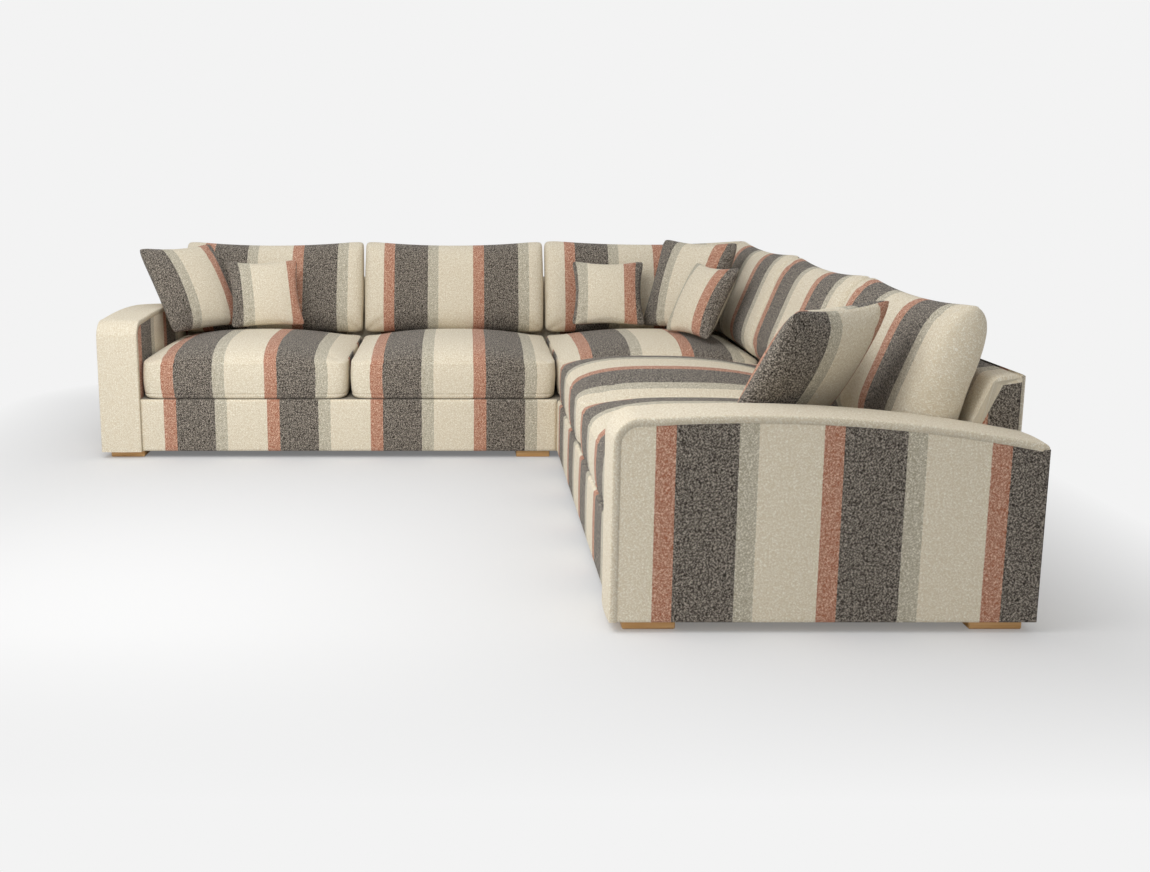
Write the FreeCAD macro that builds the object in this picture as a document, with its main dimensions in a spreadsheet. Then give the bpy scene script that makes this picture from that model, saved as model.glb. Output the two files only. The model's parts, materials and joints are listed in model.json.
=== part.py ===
import FreeCAD, Part
import math
import os

import Sketcher
from FreeCAD import Placement, Rotation, Vector

# Corner sofa with two runs of two seats each and a shared corner seat.
# Frame: millimetres, +Z up, origin on the floor at the centre of the plan.
# The left run lies along X at the back and faces -Y.
# The right run lies along Y and faces -X, and is the left run mirrored in the plane x = y.

doc = FreeCAD.newDocument("CornerSofa")

# Driving dimensions
sheet = doc.addObject("Spreadsheet::Sheet", "Size")
SIZES = [
    # plan and base
    ("arm_width", 156),
    ("seat_width", 827),
    ("depth", 1060),
    ("base_top", 238),
    # feet
    ("foot_height", 28),
    ("foot_side", 134),
    ("foot_setback", 26),
    ("foot_chamfer", 3),
    ("foot_block_side", 100),
    ("foot_block_height", 32),
    # seat frame
    ("panel_thickness", 12),
    ("rail_thickness", 30),
    ("cross_rail_thickness", 32),
    ("deck_thickness", 14),
    ("dust_cover_thickness", 2),
    ("strap_width", 60),
    ("strap_thickness", 3),
    # arms
    ("arm_front_top", 536),
    ("arm_rear_top", 472),
    ("arm_corner_radius", 50),
    ("arm_top_radius", 3700),
    ("arm_panel_thickness", 16),
    ("arm_board_height", 70),
    ("band_front", 22),
    ("band_overhang", 14),
    ("band_top", 15),
    ("band_rear", 8),
    ("band_edge_ease", 7),
    # back
    ("back_top", 630),
    ("back_top_thickness", 80),
    ("back_foot_thickness", 249),
    ("back_pad_thickness", 20),
    ("back_shoulder_drop", 8),
    ("gusset_thickness", 20),
    ("back_rail_height", 60),
    ("end_panel_thickness", 8),
    # fasteners
    ("bolt_diameter", 8),
    ("bolt_head", 13),
    ("bolt_head_height", 5.5),
    ("bolt_inset", 120),
    ("stud_diameter", 8),
    ("stud_length", 40),
    ("bore_clearance", 0.5),
    # seat cushions
    ("cushion_gap", 4),
    ("lower_seam", 20),
    ("upper_seam", 148),
    ("seat_crown", 218),
    ("seat_roll_rise", 44),
    ("seat_roll", 100),
    ("seat_draw", 5),
    ("seat_corner", 22),
    # back cushions
    ("back_cushion_height", 412),
    ("back_cushion_thickness", 200),
    ("back_cushion_lean", 15),
    ("back_cushion_dip", 20),
    ("back_cushion_sag", 8),
    ("back_cushion_seam", 40),
    ("back_cushion_end", 96),
    ("back_cushion_draw", 3),
    # scatter cushions
    ("large_scatter_side", 415),
    ("large_scatter_thickness", 130),
    ("small_scatter_side", 328),
    ("small_scatter_thickness", 100),
    ("scatter_dip", 20),
    ("scatter_seam", 8),
    ("scatter_end", 16),
    # room between a loose cushion and what carries it
    ("rest_gap", 0.3),
]
for row, (alias, value) in enumerate(SIZES, start=1):
    sheet.set(f"A{row}", alias.replace("_", " "))
    sheet.set(f"B{row}", str(value))
    sheet.setAlias(f"B{row}", alias)
doc.recompute()

STRAPS_PER_SEAT = 3
CROSS_STRAPS = 4
SEATS_PER_RUN = 2
RUN_GUSSETS = 3
CORNER_GUSSETS = 2
ROUND_SIDES = 8
HEXAGON_SIDES = 6
QUARTER_TURN = 90
MITRE_ANGLE = 45
STRAIGHT_WITHIN = 1e-6
SAME_WITHIN = 1e-3


def evaluate(rule):
    """The number that an expression on the sheet gives now, in millimetres or degrees."""
    return float(sheet.evalExpression(rule))


def size(alias):
    """The present value of one driving dimension."""
    return evaluate(f"Size.{alias}")


# Places that several pieces share, as expressions on the sheet.
# HALF is half the plan and INNER the front plane of either run.
# SEAT_START is the inner face of the left arm and BACK_FRONT the foot of the sloping back.
HALF = f"((Size.arm_width + {SEATS_PER_RUN} * Size.seat_width + Size.depth) / 2)"
INNER = f"({HALF} - Size.depth)"
SEAT_START = f"(Size.arm_width - {HALF})"
ARM_OUTSIDE = f"(0 - {HALF})"
RUN_LENGTH = f"({SEATS_PER_RUN} * Size.seat_width)"
COVER_INSIDE = f"({HALF} - Size.panel_thickness)"
RAIL_FRONT = f"({INNER} + Size.panel_thickness)"
BACK_FRONT = f"({HALF} - Size.back_foot_thickness)"
REAR_RAIL = f"({BACK_FRONT} - Size.rail_thickness)"
FRAME_FLOOR = "(Size.foot_height + Size.dust_cover_thickness)"
RAIL_TOP = "(Size.base_top - Size.deck_thickness - 2 * Size.strap_thickness)"
RAIL_HEIGHT = f"({RAIL_TOP} - {FRAME_FLOOR})"

nodes = []


def keep(piece, label):
    """Name a finished sub-part and put it on the list of pieces."""
    piece.Label = label
    nodes.append(piece)
    return piece


def bind(piece, corner):
    """Tie a piece's place to the sheet."""
    for axis, rule in zip("xyz", corner):
        piece.setExpression(f"Placement.Base.{axis}", rule)
    return piece


def block(name, lengths, corner):
    """A block with its lengths and its lowest corner bound to the sheet."""
    piece = doc.addObject("Part::Box", name)
    for side, rule in zip(("Length", "Width", "Height"), lengths):
        piece.setExpression(side, rule)
    return bind(piece, corner)


def group(name, members):
    """Like pieces that share one node as separate solids."""
    piece = doc.addObject("Part::Compound", name)
    piece.Links = members
    return piece


def cut(name, base, tool):
    """The base with the tool's space taken out."""
    piece = doc.addObject("Part::Cut", name)
    piece.Base = base
    piece.Tool = tool
    return piece


def mirrored(source, name):
    """The handed twin of a left piece, in the plane x = y."""
    twin = doc.addObject("Part::Mirroring", name)
    twin.Source = source
    twin.Base = Vector(0, 0, 0)
    twin.Normal = Vector(1, -1, 0)
    return twin


def keep_pair(piece, label):
    """Keep a left piece and its mirrored right twin."""
    keep(piece, f"left_{label}")
    keep(mirrored(piece, f"right_{label}_twin"), f"right_{label}")


def side_sketch(body, name, outlines):
    """A sketch of closed outlines on a body's YZ plane, with each corner bound to the sheet.

    An outline is a list of (y, z, radius, bulge). radius is None where the edge to the next corner
    is a line. Otherwise it is the expression of the arc's radius, and bulge says on which side of
    the chord the arc stands: 1 to the left of the way along the outline, -1 to the right.
    """
    sketch = body.newObject("Sketcher::SketchObject", name)
    plane = next(f for f in body.Origin.OriginFeatures if f.Role == "YZ_Plane")
    sketch.AttachmentSupport = [(plane, "")]
    sketch.MapMode = "FlatFace"
    for outline in outlines:
        corners = [Vector(evaluate(y), evaluate(z), 0) for y, z, _, _ in outline]
        first = sketch.GeometryCount
        for index, (_, _, radius, bulge) in enumerate(outline):
            start = corners[index]
            end = corners[(index + 1) % len(outline)]
            if radius is None:
                edge = Part.LineSegment(start, end)
            else:
                edge = arc_between(start, end, evaluate(radius), bulge)
            sketch.addGeometry(edge, False)
        for index, (y, z, radius, bulge) in enumerate(outline):
            edge = first + index
            before = first + (index - 1) % len(outline)
            head = 2 if outline[index][2] is not None and bulge > 0 else 1
            tail_bulge = outline[index - 1][3]
            tail = 1 if outline[index - 1][2] is not None and tail_bulge > 0 else 2
            sketch.addConstraint(Sketcher.Constraint("Coincident", before, tail, edge, head))
            for kind, rule in (("DistanceX", y), ("DistanceY", z)):
                place = Sketcher.Constraint(kind, -1, 1, edge, head, evaluate(rule))
                number = sketch.addConstraint(place)
                sketch.setExpression(f"Constraints[{number}]", rule)
            if radius is not None:
                curve = Sketcher.Constraint("Radius", edge, evaluate(radius))
                number = sketch.addConstraint(curve)
                sketch.setExpression(f"Constraints[{number}]", radius)
    return sketch


def arc_between(start, end, radius, bulge):
    """The short arc of a radius from one point to another, on one side of the chord."""
    chord = end - start
    across = Vector(-chord.y, chord.x, 0).normalize() * bulge
    sagitta = radius - math.sqrt(radius**2 - (chord.Length / 2) ** 2)
    return Part.Arc(start, (start + end) * 0.5 + across * sagitta, end)


def padded(body, name, sketch, length):
    """A pad of a sketch along X, with its length bound to the sheet."""
    pad = body.newObject("PartDesign::Pad", name)
    pad.Profile = sketch
    pad.setExpression("Length", length)
    sketch.Visibility = False
    return pad


# Feet: low oak blocks, each held by a stud that is glued into its top.

def octagon(name, radius, height, start):
    """An upright eight-sided peg, which stands for a slim round one."""
    peg = doc.addObject("Part::Prism", name)
    peg.Polygon = ROUND_SIDES
    peg.setExpression("Circumradius", radius)
    peg.setExpression("Height", height)
    return bind(peg, start)


STUD_FLOOR = "(Size.foot_height - Size.stud_length / 2)"
HOLE_RADIUS = "(Size.stud_diameter / 2 + Size.bore_clearance)"


def stud_holes(name, centres):
    """Holes for the studs at centres, as one cutting tool."""
    pegs = [
        octagon(f"{name}{k}", HOLE_RADIUS, "Size.stud_length", centre + [STUD_FLOOR])
        for k, centre in enumerate(centres)
    ]
    return group(name, pegs)


def foot(name, x, y):
    """One oak block with eased edges, and the stud in its middle. x and y are its lowest corner."""
    side = "Size.foot_side"
    raw = block(name + "Blank", [side, side, "Size.foot_height"], [x, y, "0"])
    doc.recompute()
    eased = doc.addObject("Part::Chamfer", name + "Eased")
    eased.Base = raw
    width = size("foot_chamfer")
    eased.Edges = [(number + 1, width, width) for number in range(len(raw.Shape.Edges))]
    centre = [f"({x} + {side} / 2)", f"({y} + {side} / 2)"]
    start = centre + [STUD_FLOOR]
    studs.append(octagon(name + "Stud", "(Size.stud_diameter / 2)", "Size.stud_length", start))
    return cut(name, eased, stud_holes(name + "Bore", [centre])), centre


studs = []
FOOT_LEFT = f"({ARM_OUTSIDE} + Size.foot_setback)"
FOOT_FRONT = f"({INNER} + Size.foot_setback)"
FOOT_FAR = f"({HALF} - Size.foot_setback - Size.foot_side)"
FOOT_INNER = f"({INNER} - Size.foot_setback - Size.foot_side)"
arm_feet = [foot("FootArmFront", FOOT_LEFT, FOOT_FRONT), foot("FootArmRear", FOOT_LEFT, FOOT_FAR)]
run_feet = [foot("FootRunFront", FOOT_INNER, FOOT_FRONT), foot("FootRunRear", FOOT_INNER, FOOT_FAR)]
keep_pair(group("LeftFeet", [block_foot for block_foot, _ in arm_feet + run_feet]), "feet")
run_studs = group("RunStuds", list(studs))
corner_feet = [
    foot(f"FootCorner{number}", x, y)
    for number, (x, y) in enumerate(
        [(FOOT_FRONT, FOOT_FRONT), (FOOT_FAR, FOOT_FRONT), (FOOT_FRONT, FOOT_FAR), (FOOT_FAR, FOOT_FAR)]
    )
]
keep(group("CornerFeet", [block_foot for block_foot, _ in corner_feet]), "corner_feet")
corner_studs = studs[len(arm_feet + run_feet):]
keep(group("FootStuds", [run_studs, mirrored(run_studs, "RunStudsTwin")] + corner_studs), "foot_studs")

arm_centres = [centre for _, centre in arm_feet]
run_centres = [centre for _, centre in run_feet]
corner_centres = [centre for _, centre in corner_feet]


# Foot blocks: timber blocks glued in the corners of the frames, which take the studs.

def foot_block(name, x, y, centre):
    """One block with its lowest corner at x and y, bored for the stud at centre."""
    side = "Size.foot_block_side"
    raw = block(name + "Blank", [side, side, "Size.foot_block_height"], [x, y, FRAME_FLOOR])
    return cut(name, raw, stud_holes(name + "Bore", [centre]))


BLOCK_NEAR = f"({RAIL_FRONT} + Size.rail_thickness)"
BLOCK_FAR = f"({COVER_INSIDE} - Size.rail_thickness - Size.foot_block_side)"
BLOCK_RUN = f"({INNER} - Size.cross_rail_thickness - Size.foot_block_side)"
BLOCK_CORNER = f"({INNER} + Size.rail_thickness)"
run_blocks = group(
    "RunBlocks",
    [
        foot_block("BlockRunFront", BLOCK_RUN, BLOCK_NEAR, run_centres[0]),
        foot_block("BlockRunRear", BLOCK_RUN, BLOCK_FAR, run_centres[1]),
    ],
)
corner_blocks = [
    foot_block(f"BlockCorner{number}", x, y, corner_centres[number])
    for number, (x, y) in enumerate(
        [
            (BLOCK_CORNER, BLOCK_CORNER),
            (BLOCK_FAR, BLOCK_CORNER),
            (BLOCK_CORNER, BLOCK_FAR),
            (BLOCK_FAR, BLOCK_FAR),
        ]
    )
]
keep(group("FootBlocks", [run_blocks, mirrored(run_blocks, "RunBlocksTwin")] + corner_blocks), "foot_blocks")


# Joining bolts: two through each joint between a run and the corner section.

BOLT_START = f"({INNER} - Size.cross_rail_thickness - Size.bolt_head_height)"
BOLT_LENGTH = "(Size.cross_rail_thickness + Size.rail_thickness + 2 * Size.bolt_head_height)"
BOLT_LEVEL = f"({FRAME_FLOOR} + {RAIL_HEIGHT} / 2)"
BOLT_PLACES = [
    f"({BLOCK_NEAR} + Size.bolt_inset)",
    f"({REAR_RAIL} - Size.bolt_inset)",
]


def lying(name, sides, radius, length, start):
    """A prism with its axis along X: a bolt's head, nut or shank, or the hole for it."""
    piece = doc.addObject("Part::Prism", name)
    piece.Polygon = sides
    piece.setExpression("Circumradius", radius)
    piece.setExpression("Height", length)
    piece.Placement = Placement(Vector(0, 0, 0), Rotation(Vector(0, 1, 0), QUARTER_TURN))
    return bind(piece, start)


def joining_bolt(name, y):
    """A bolt with its nut run on, square through both rails."""
    nut = f"({INNER} + Size.rail_thickness)"
    head = ("(Size.bolt_head / 2)", "Size.bolt_head_height")
    shank = "(Size.bolt_diameter / 2)"
    piece = doc.addObject("Part::MultiFuse", name)
    piece.Shapes = [
        lying(name + "Head", HEXAGON_SIDES, *head, [BOLT_START, y, BOLT_LEVEL]),
        lying(name + "Shank", ROUND_SIDES, shank, BOLT_LENGTH, [BOLT_START, y, BOLT_LEVEL]),
        lying(name + "Nut", HEXAGON_SIDES, *head, [nut, y, BOLT_LEVEL]),
    ]
    return piece


def bolt_holes(name):
    """Clearance holes for the joining bolts, as one cutting tool."""
    radius = "(Size.bolt_diameter / 2 + Size.bore_clearance)"
    rods = [
        lying(f"{name}{k}", ROUND_SIDES, radius, BOLT_LENGTH, [BOLT_START, y, BOLT_LEVEL])
        for k, y in enumerate(BOLT_PLACES)
    ]
    return group(name, rods)


run_bolts = group("RunBolts", [joining_bolt(f"Bolt{k}", y) for k, y in enumerate(BOLT_PLACES)])
keep(group("JoiningBolts", [run_bolts, mirrored(run_bolts, "RunBoltsTwin")]), "joining_bolts")


# Seat frames: upright timber rails, with cross rails at the ends and the middle of each run.

def rail(name, x, y, length, width):
    """An upright rail that stands on the dust cover and carries the webbing."""
    return block(name, [length, width, RAIL_HEIGHT], [x, y, FRAME_FLOOR])


long_rails = [
    rail("FrontRail", SEAT_START, RAIL_FRONT, RUN_LENGTH, "Size.rail_thickness"),
    rail("RearRail", SEAT_START, REAR_RAIL, RUN_LENGTH, "Size.rail_thickness"),
]
keep_pair(group("SeatRails", long_rails), "seat_rails")

CROSS_LENGTH = f"({REAR_RAIL} - {BLOCK_NEAR})"
cross_places = [
    SEAT_START,
    f"({SEAT_START} + Size.seat_width - Size.cross_rail_thickness / 2)",
    f"({INNER} - Size.cross_rail_thickness)",
]
cross_rails = [
    rail(f"CrossRail{k}", x, BLOCK_NEAR, "Size.cross_rail_thickness", CROSS_LENGTH)
    for k, x in enumerate(cross_places)
]
cross_rails[-1] = cut("BoltedCrossRail", cross_rails[-1], bolt_holes("RunBoltHoles"))
keep_pair(group("CrossRails", cross_rails), "cross_rails")

SQUARE_SIDE = f"({BACK_FRONT} - {INNER})"
BETWEEN_RAILS = f"({SQUARE_SIDE} - 2 * Size.rail_thickness)"
corner_side = cut(
    "CornerSideRail",
    rail("CornerSideBlank", INNER, INNER, "Size.rail_thickness", SQUARE_SIDE),
    bolt_holes("CornerBoltHoles"),
)
corner_near = cut(
    "CornerNearRail",
    rail("CornerNearBlank", BLOCK_CORNER, INNER, BETWEEN_RAILS, "Size.rail_thickness"),
    mirrored(bolt_holes("NearBoltHoles"), "NearBoltHolesTwin"),
)
corner_rails = [
    corner_side,
    corner_near,
    rail("CornerFarRail", REAR_RAIL, INNER, "Size.rail_thickness", SQUARE_SIDE),
    rail("CornerBackRail", BLOCK_CORNER, REAR_RAIL, BETWEEN_RAILS, "Size.rail_thickness"),
]
keep(group("CornerRails", corner_rails), "corner_seat_rails")


# Seat webbing: elastic straps, side to side on the rails and front to back over those.

def straps(name, x, y, length, depth, along_x, count, level):
    """Evenly spaced straps across a rectangle, along X or along Y."""
    made = []
    for k in range(count):
        share = f"{k + 1} / {count + 1}"
        if along_x:
            corner = [x, f"({y} + {depth} * {share} - Size.strap_width / 2)", level]
            sides = [length, "Size.strap_width", "Size.strap_thickness"]
        else:
            corner = [f"({x} + {length} * {share} - Size.strap_width / 2)", y, level]
            sides = ["Size.strap_width", depth, "Size.strap_thickness"]
        made.append(block(f"{name}{k}", sides, corner))
    return made


STRAP_TOP = f"({RAIL_TOP} + Size.strap_thickness)"
RUN_DEPTH = f"({BACK_FRONT} - {RAIL_FRONT})"
run_straps = straps("RunCross", SEAT_START, RAIL_FRONT, RUN_LENGTH, RUN_DEPTH, True, CROSS_STRAPS, RAIL_TOP)
for seat in range(SEATS_PER_RUN):
    bay = f"({SEAT_START} + {seat} * Size.seat_width)"
    run_straps += straps(
        f"RunLong{seat}", bay, RAIL_FRONT, "Size.seat_width", RUN_DEPTH, False, STRAPS_PER_SEAT, STRAP_TOP
    )
run_webbing = group("RunWebbing", run_straps)
corner_straps = straps(
    "CornerCross", INNER, INNER, SQUARE_SIDE, SQUARE_SIDE, True, CROSS_STRAPS, RAIL_TOP
) + straps("CornerLong", INNER, INNER, SQUARE_SIDE, SQUARE_SIDE, False, STRAPS_PER_SEAT, STRAP_TOP)
webbing = [run_webbing, mirrored(run_webbing, "RunWebbingTwin"), group("CornerWebbing", corner_straps)]
keep(group("SeatWebbing", webbing), "seat_webbing")


# Decks: the padded cloth platforms over the webbing, on which the seat cushions lie.

DECK_LEVEL = "(Size.base_top - Size.deck_thickness)"
run_deck_sides = [RUN_LENGTH, RUN_DEPTH, "Size.deck_thickness"]
keep_pair(block("RunDeck", run_deck_sides, [SEAT_START, RAIL_FRONT, DECK_LEVEL]), "seat_deck")
corner_deck_sides = [SQUARE_SIDE, SQUARE_SIDE, "Size.deck_thickness"]
keep(block("CornerDeck", corner_deck_sides, [INNER, INNER, DECK_LEVEL]), "corner_seat_deck")


# Front panels: padded striped panels over the front rails.

panel = block(
    "FrontPanel",
    [RUN_LENGTH, "Size.panel_thickness", "(Size.base_top - Size.foot_height)"],
    [SEAT_START, INNER, "Size.foot_height"],
)
keep_pair(panel, "front_panel")


# Dust covers: thin dark cloth under each section, with holes for the foot studs.

run_dust = block(
    "RunDustBlank",
    [RUN_LENGTH, f"({COVER_INSIDE} - {RAIL_FRONT})", "Size.dust_cover_thickness"],
    [SEAT_START, RAIL_FRONT, "Size.foot_height"],
)
keep_pair(cut("RunDust", run_dust, stud_holes("RunDustHoles", run_centres)), "dust_cover")
CORNER_CLEAR = f"({COVER_INSIDE} - {INNER})"
corner_dust = block(
    "CornerDustBlank",
    [CORNER_CLEAR, CORNER_CLEAR, "Size.dust_cover_thickness"],
    [INNER, INNER, "Size.foot_height"],
)
keep(cut("CornerDust", corner_dust, stud_holes("CornerDustHoles", corner_centres)), "corner_dust_cover")


# Arms: a timber frame, a striped panel on each side, and a plain band over the front, top and rear.

FLOOR = "Size.foot_height"
ARM_FACE = f"({INNER} + Size.band_front - Size.band_overhang)"
ARM_END = f"({HALF} - Size.band_rear)"
BAND_FACE = f"({INNER} - Size.band_overhang)"
BAND_CREST = "(Size.arm_front_top + Size.band_top)"
BAND_RADIUS = "(Size.arm_corner_radius + Size.band_front)"
BAND_TOP_RADIUS = "(Size.arm_top_radius + Size.band_top)"
OUTWARD = -1
INWARD = 1
LINE = (None, 0)
arm_outline = [
    (ARM_FACE, FLOOR, *LINE),
    (ARM_END, FLOOR, *LINE),
    (ARM_END, "Size.arm_rear_top", "Size.arm_top_radius", OUTWARD),
    (f"({ARM_FACE} + Size.arm_corner_radius)", "Size.arm_front_top", "Size.arm_corner_radius", OUTWARD),
    (ARM_FACE, "(Size.arm_front_top - Size.arm_corner_radius)", *LINE),
]


def side_piece(name, outlines, start, length):
    """A piece with the arm's side outline, from start along X."""
    body = doc.addObject("PartDesign::Body", name)
    sketch = side_sketch(body, name + "Outline", outlines)
    padded(body, name + "Pad", sketch, length)
    return bind(body, [start, "0", "0"])


window = [
    (f"({ARM_FACE} + Size.arm_board_height)", "(Size.foot_height + Size.arm_board_height)", *LINE),
    (f"({ARM_END} - Size.arm_board_height)", "(Size.foot_height + Size.arm_board_height)", *LINE),
    (f"({ARM_END} - Size.arm_board_height)", "(Size.arm_rear_top - Size.arm_board_height)", *LINE),
    (f"({ARM_FACE} + Size.arm_board_height)", "(Size.arm_rear_top - Size.arm_board_height)", *LINE),
]
side = "Size.arm_panel_thickness"
arm_frame = side_piece(
    "ArmFrameBody", [arm_outline, window], f"({ARM_OUTSIDE} + {side})", f"(Size.arm_width - 2 * {side})"
)
keep_pair(cut("ArmFrame", arm_frame, stud_holes("ArmStudHoles", arm_centres)), "arm_frame")
keep_pair(side_piece("ArmOuterPanel", [arm_outline], ARM_OUTSIDE, side), "arm_outer_panel")
keep_pair(side_piece("ArmInnerPanel", [arm_outline], f"({SEAT_START} - {side})", side), "arm_inner_panel")

band_outline = [
    (BAND_FACE, FLOOR, *LINE),
    (ARM_FACE, FLOOR, *LINE),
    (ARM_FACE, "(Size.arm_front_top - Size.arm_corner_radius)", "Size.arm_corner_radius", INWARD),
    (f"({ARM_FACE} + Size.arm_corner_radius)", "Size.arm_front_top", "Size.arm_top_radius", INWARD),
    (ARM_END, "Size.arm_rear_top", *LINE),
    (ARM_END, FLOOR, *LINE),
    (HALF, FLOOR, *LINE),
    (HALF, "(Size.arm_rear_top + Size.band_top)", BAND_TOP_RADIUS, OUTWARD),
    (f"({BAND_FACE} + {BAND_RADIUS})", BAND_CREST, BAND_RADIUS, OUTWARD),
    (BAND_FACE, f"({BAND_CREST} - {BAND_RADIUS})", *LINE),
]
band = side_piece("ArmBand", [band_outline], ARM_OUTSIDE, "Size.arm_width")
doc.recompute()


def lies_outside(edge):
    """True for the band's outer edges along its two sides."""
    if edge.BoundBox.XLength > STRAIGHT_WITHIN:
        return False
    if hasattr(edge.Curve, "Radius"):
        outer = (evaluate(BAND_RADIUS), evaluate(BAND_TOP_RADIUS))
        return min(abs(edge.Curve.Radius - radius) for radius in outer) < SAME_WITHIN
    middle = edge.CenterOfMass.y
    upright = edge.BoundBox.YLength < STRAIGHT_WITHIN
    return upright and min(abs(middle - evaluate(face)) for face in (BAND_FACE, HALF)) < SAME_WITHIN


band_pad = band.Tip
names = [f"Edge{k}" for k, edge in enumerate(band_pad.Shape.Edges, start=1) if lies_outside(edge)]
eased = band.newObject("PartDesign::Chamfer", "ArmBandEase")
eased.Base = (band_pad, names)
eased.setExpression("Size", "Size.band_edge_ease")
keep_pair(band, "arm_band")


# Backs: a glued frame of gussets and rails, a padded front that slopes and turns over the top,
# a flat cover behind, and a striped end panel where the back shows above the arm.

SHOULDER = f"({HALF} - Size.back_top_thickness)"
SHOULDER_LEVEL = "(Size.back_top - Size.back_shoulder_drop)"
PAD_UNDER = "(Size.back_top - Size.back_pad_thickness)"
SHOULDER_INSIDE = f"({SHOULDER} + Size.back_pad_thickness)"
SHOULDER_UNDER = f"({SHOULDER_LEVEL} - Size.back_pad_thickness)"
PAD_FOOT = f"({BACK_FRONT} + Size.back_pad_thickness)"
RAIL_INSIDE = f"({COVER_INSIDE} - Size.rail_thickness)"
WINDOW_FRONT = f"({BACK_FRONT} + Size.back_rail_height)"
WINDOW_FLOOR = f"({FRAME_FLOOR} + Size.back_rail_height)"
gusset_outline = [
    (BACK_FRONT, FRAME_FLOOR, *LINE),
    (COVER_INSIDE, FRAME_FLOOR, *LINE),
    (COVER_INSIDE, PAD_UNDER, *LINE),
    (SHOULDER_INSIDE, SHOULDER_UNDER, *LINE),
    (PAD_FOOT, "Size.base_top", *LINE),
    (BACK_FRONT, "Size.base_top", *LINE),
]
gusset_window = [
    (WINDOW_FRONT, WINDOW_FLOOR, *LINE),
    (f"({RAIL_INSIDE} - Size.rail_thickness)", WINDOW_FLOOR, *LINE),
    (f"({RAIL_INSIDE} - Size.rail_thickness)", "Size.base_top", *LINE),
    (WINDOW_FRONT, "Size.base_top", *LINE),
]
pad_outline = [
    (BACK_FRONT, "Size.base_top", *LINE),
    (PAD_FOOT, "Size.base_top", *LINE),
    (SHOULDER_INSIDE, SHOULDER_UNDER, *LINE),
    (COVER_INSIDE, PAD_UNDER, *LINE),
    (COVER_INSIDE, "Size.back_top", *LINE),
    (SHOULDER, SHOULDER_LEVEL, *LINE),
]
end_outline = [
    (PAD_FOOT, "Size.base_top", *LINE),
    (COVER_INSIDE, "Size.base_top", *LINE),
    (COVER_INSIDE, PAD_UNDER, *LINE),
    (SHOULDER_INSIDE, SHOULDER_UNDER, *LINE),
]


def rail_section(floor):
    """The outline of a back rail whose lowest face is at floor."""
    top = f"({floor} + Size.back_rail_height)"
    return [
        (RAIL_INSIDE, floor, *LINE),
        (COVER_INSIDE, floor, *LINE),
        (COVER_INSIDE, top, *LINE),
        (RAIL_INSIDE, top, *LINE),
    ]


def back_frame(name, start, length, spread, count):
    """Gussets at an even spacing over spread, tied by a bottom rail and a top rail of one length."""
    body = doc.addObject("PartDesign::Body", name)
    gusset = side_sketch(body, name + "GussetOutline", [gusset_outline, gusset_window])
    first = padded(body, name + "Gusset", gusset, "Size.gusset_thickness")
    top_rail = f"({SHOULDER_UNDER} - Size.back_rail_height)"
    rails = side_sketch(body, name + "RailOutline", [rail_section(FRAME_FLOOR), rail_section(top_rail)])
    padded(body, name + "Rails", rails, length)
    doc.recompute()
    row = body.newObject("PartDesign::LinearPattern", name + "Row")
    row.Originals = [first]
    row.Direction = (gusset, ["N_Axis"])
    row.Occurrences = count
    row.setExpression("Length", spread)
    body.Tip = row
    return bind(body, [start, "0", "0"])


RUN_BACK_START = f"({SEAT_START} + Size.end_panel_thickness)"
RUN_BACK_LENGTH = f"({RUN_LENGTH} - Size.end_panel_thickness)"
run_back = back_frame(
    "RunBackFrame",
    RUN_BACK_START,
    RUN_BACK_LENGTH,
    f"({RUN_BACK_LENGTH} - Size.gusset_thickness)",
    RUN_GUSSETS,
)
keep_pair(run_back, "back_frame")
corner_back = back_frame("CornerBackHalf", INNER, CORNER_CLEAR, SQUARE_SIDE, CORNER_GUSSETS)
corner_frame = doc.addObject("Part::MultiFuse", "CornerBackFrame")
corner_frame.Shapes = [corner_back, mirrored(corner_back, "CornerBackHalfTwin")]
keep(corner_frame, "corner_back_frame")

keep_pair(side_piece("RunBackPad", [pad_outline], SEAT_START, RUN_LENGTH), "back_pad")
keep_pair(side_piece("BackEndPanel", [end_outline], SEAT_START, "Size.end_panel_thickness"), "back_end_panel")

mitre = doc.addObject("Part::Box", "Mitre")
for length in ("Length", "Width", "Height"):
    mitre.setExpression(length, "(4 * Size.depth)")
mitre.Placement = Placement(Vector(0, 0, 0), Rotation(Vector(0, 0, 1), MITRE_ANGLE))
corner_pad = doc.addObject("Part::Common", "CornerPad")
corner_pad.Base = side_piece("CornerPadFull", [pad_outline], INNER, "Size.depth")
corner_pad.Tool = mitre
keep(corner_pad, "corner_back_pad_left")
keep(mirrored(corner_pad, "CornerPadTwin"), "corner_back_pad_right")

COVER_HEIGHT = "(Size.back_top - Size.foot_height)"
run_cover = block(
    "RunCover",
    [RUN_LENGTH, "Size.panel_thickness", COVER_HEIGHT],
    [SEAT_START, COVER_INSIDE, "Size.foot_height"],
)
keep_pair(run_cover, "back_cover")
left_cover = block(
    "CornerCoverLeft",
    ["Size.depth", "Size.panel_thickness", COVER_HEIGHT],
    [INNER, COVER_INSIDE, "Size.foot_height"],
)
keep(left_cover, "corner_back_cover_left")
right_cover = block(
    "CornerCoverRight",
    ["Size.panel_thickness", CORNER_CLEAR, COVER_HEIGHT],
    [COVER_INSIDE, INNER, "Size.foot_height"],
)
keep(right_cover, "corner_back_cover_right")


# Cushion forms. Each is what three outlines have in common: one seen from the front, one from the
# side and one from above, drawn with lines and shallow arcs.

BELLY = 0.45
FULLNESS = 1.06
RUN_IN = 0.3
RISE_AT = 0.3
RISE_SHARE = 0.62


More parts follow.
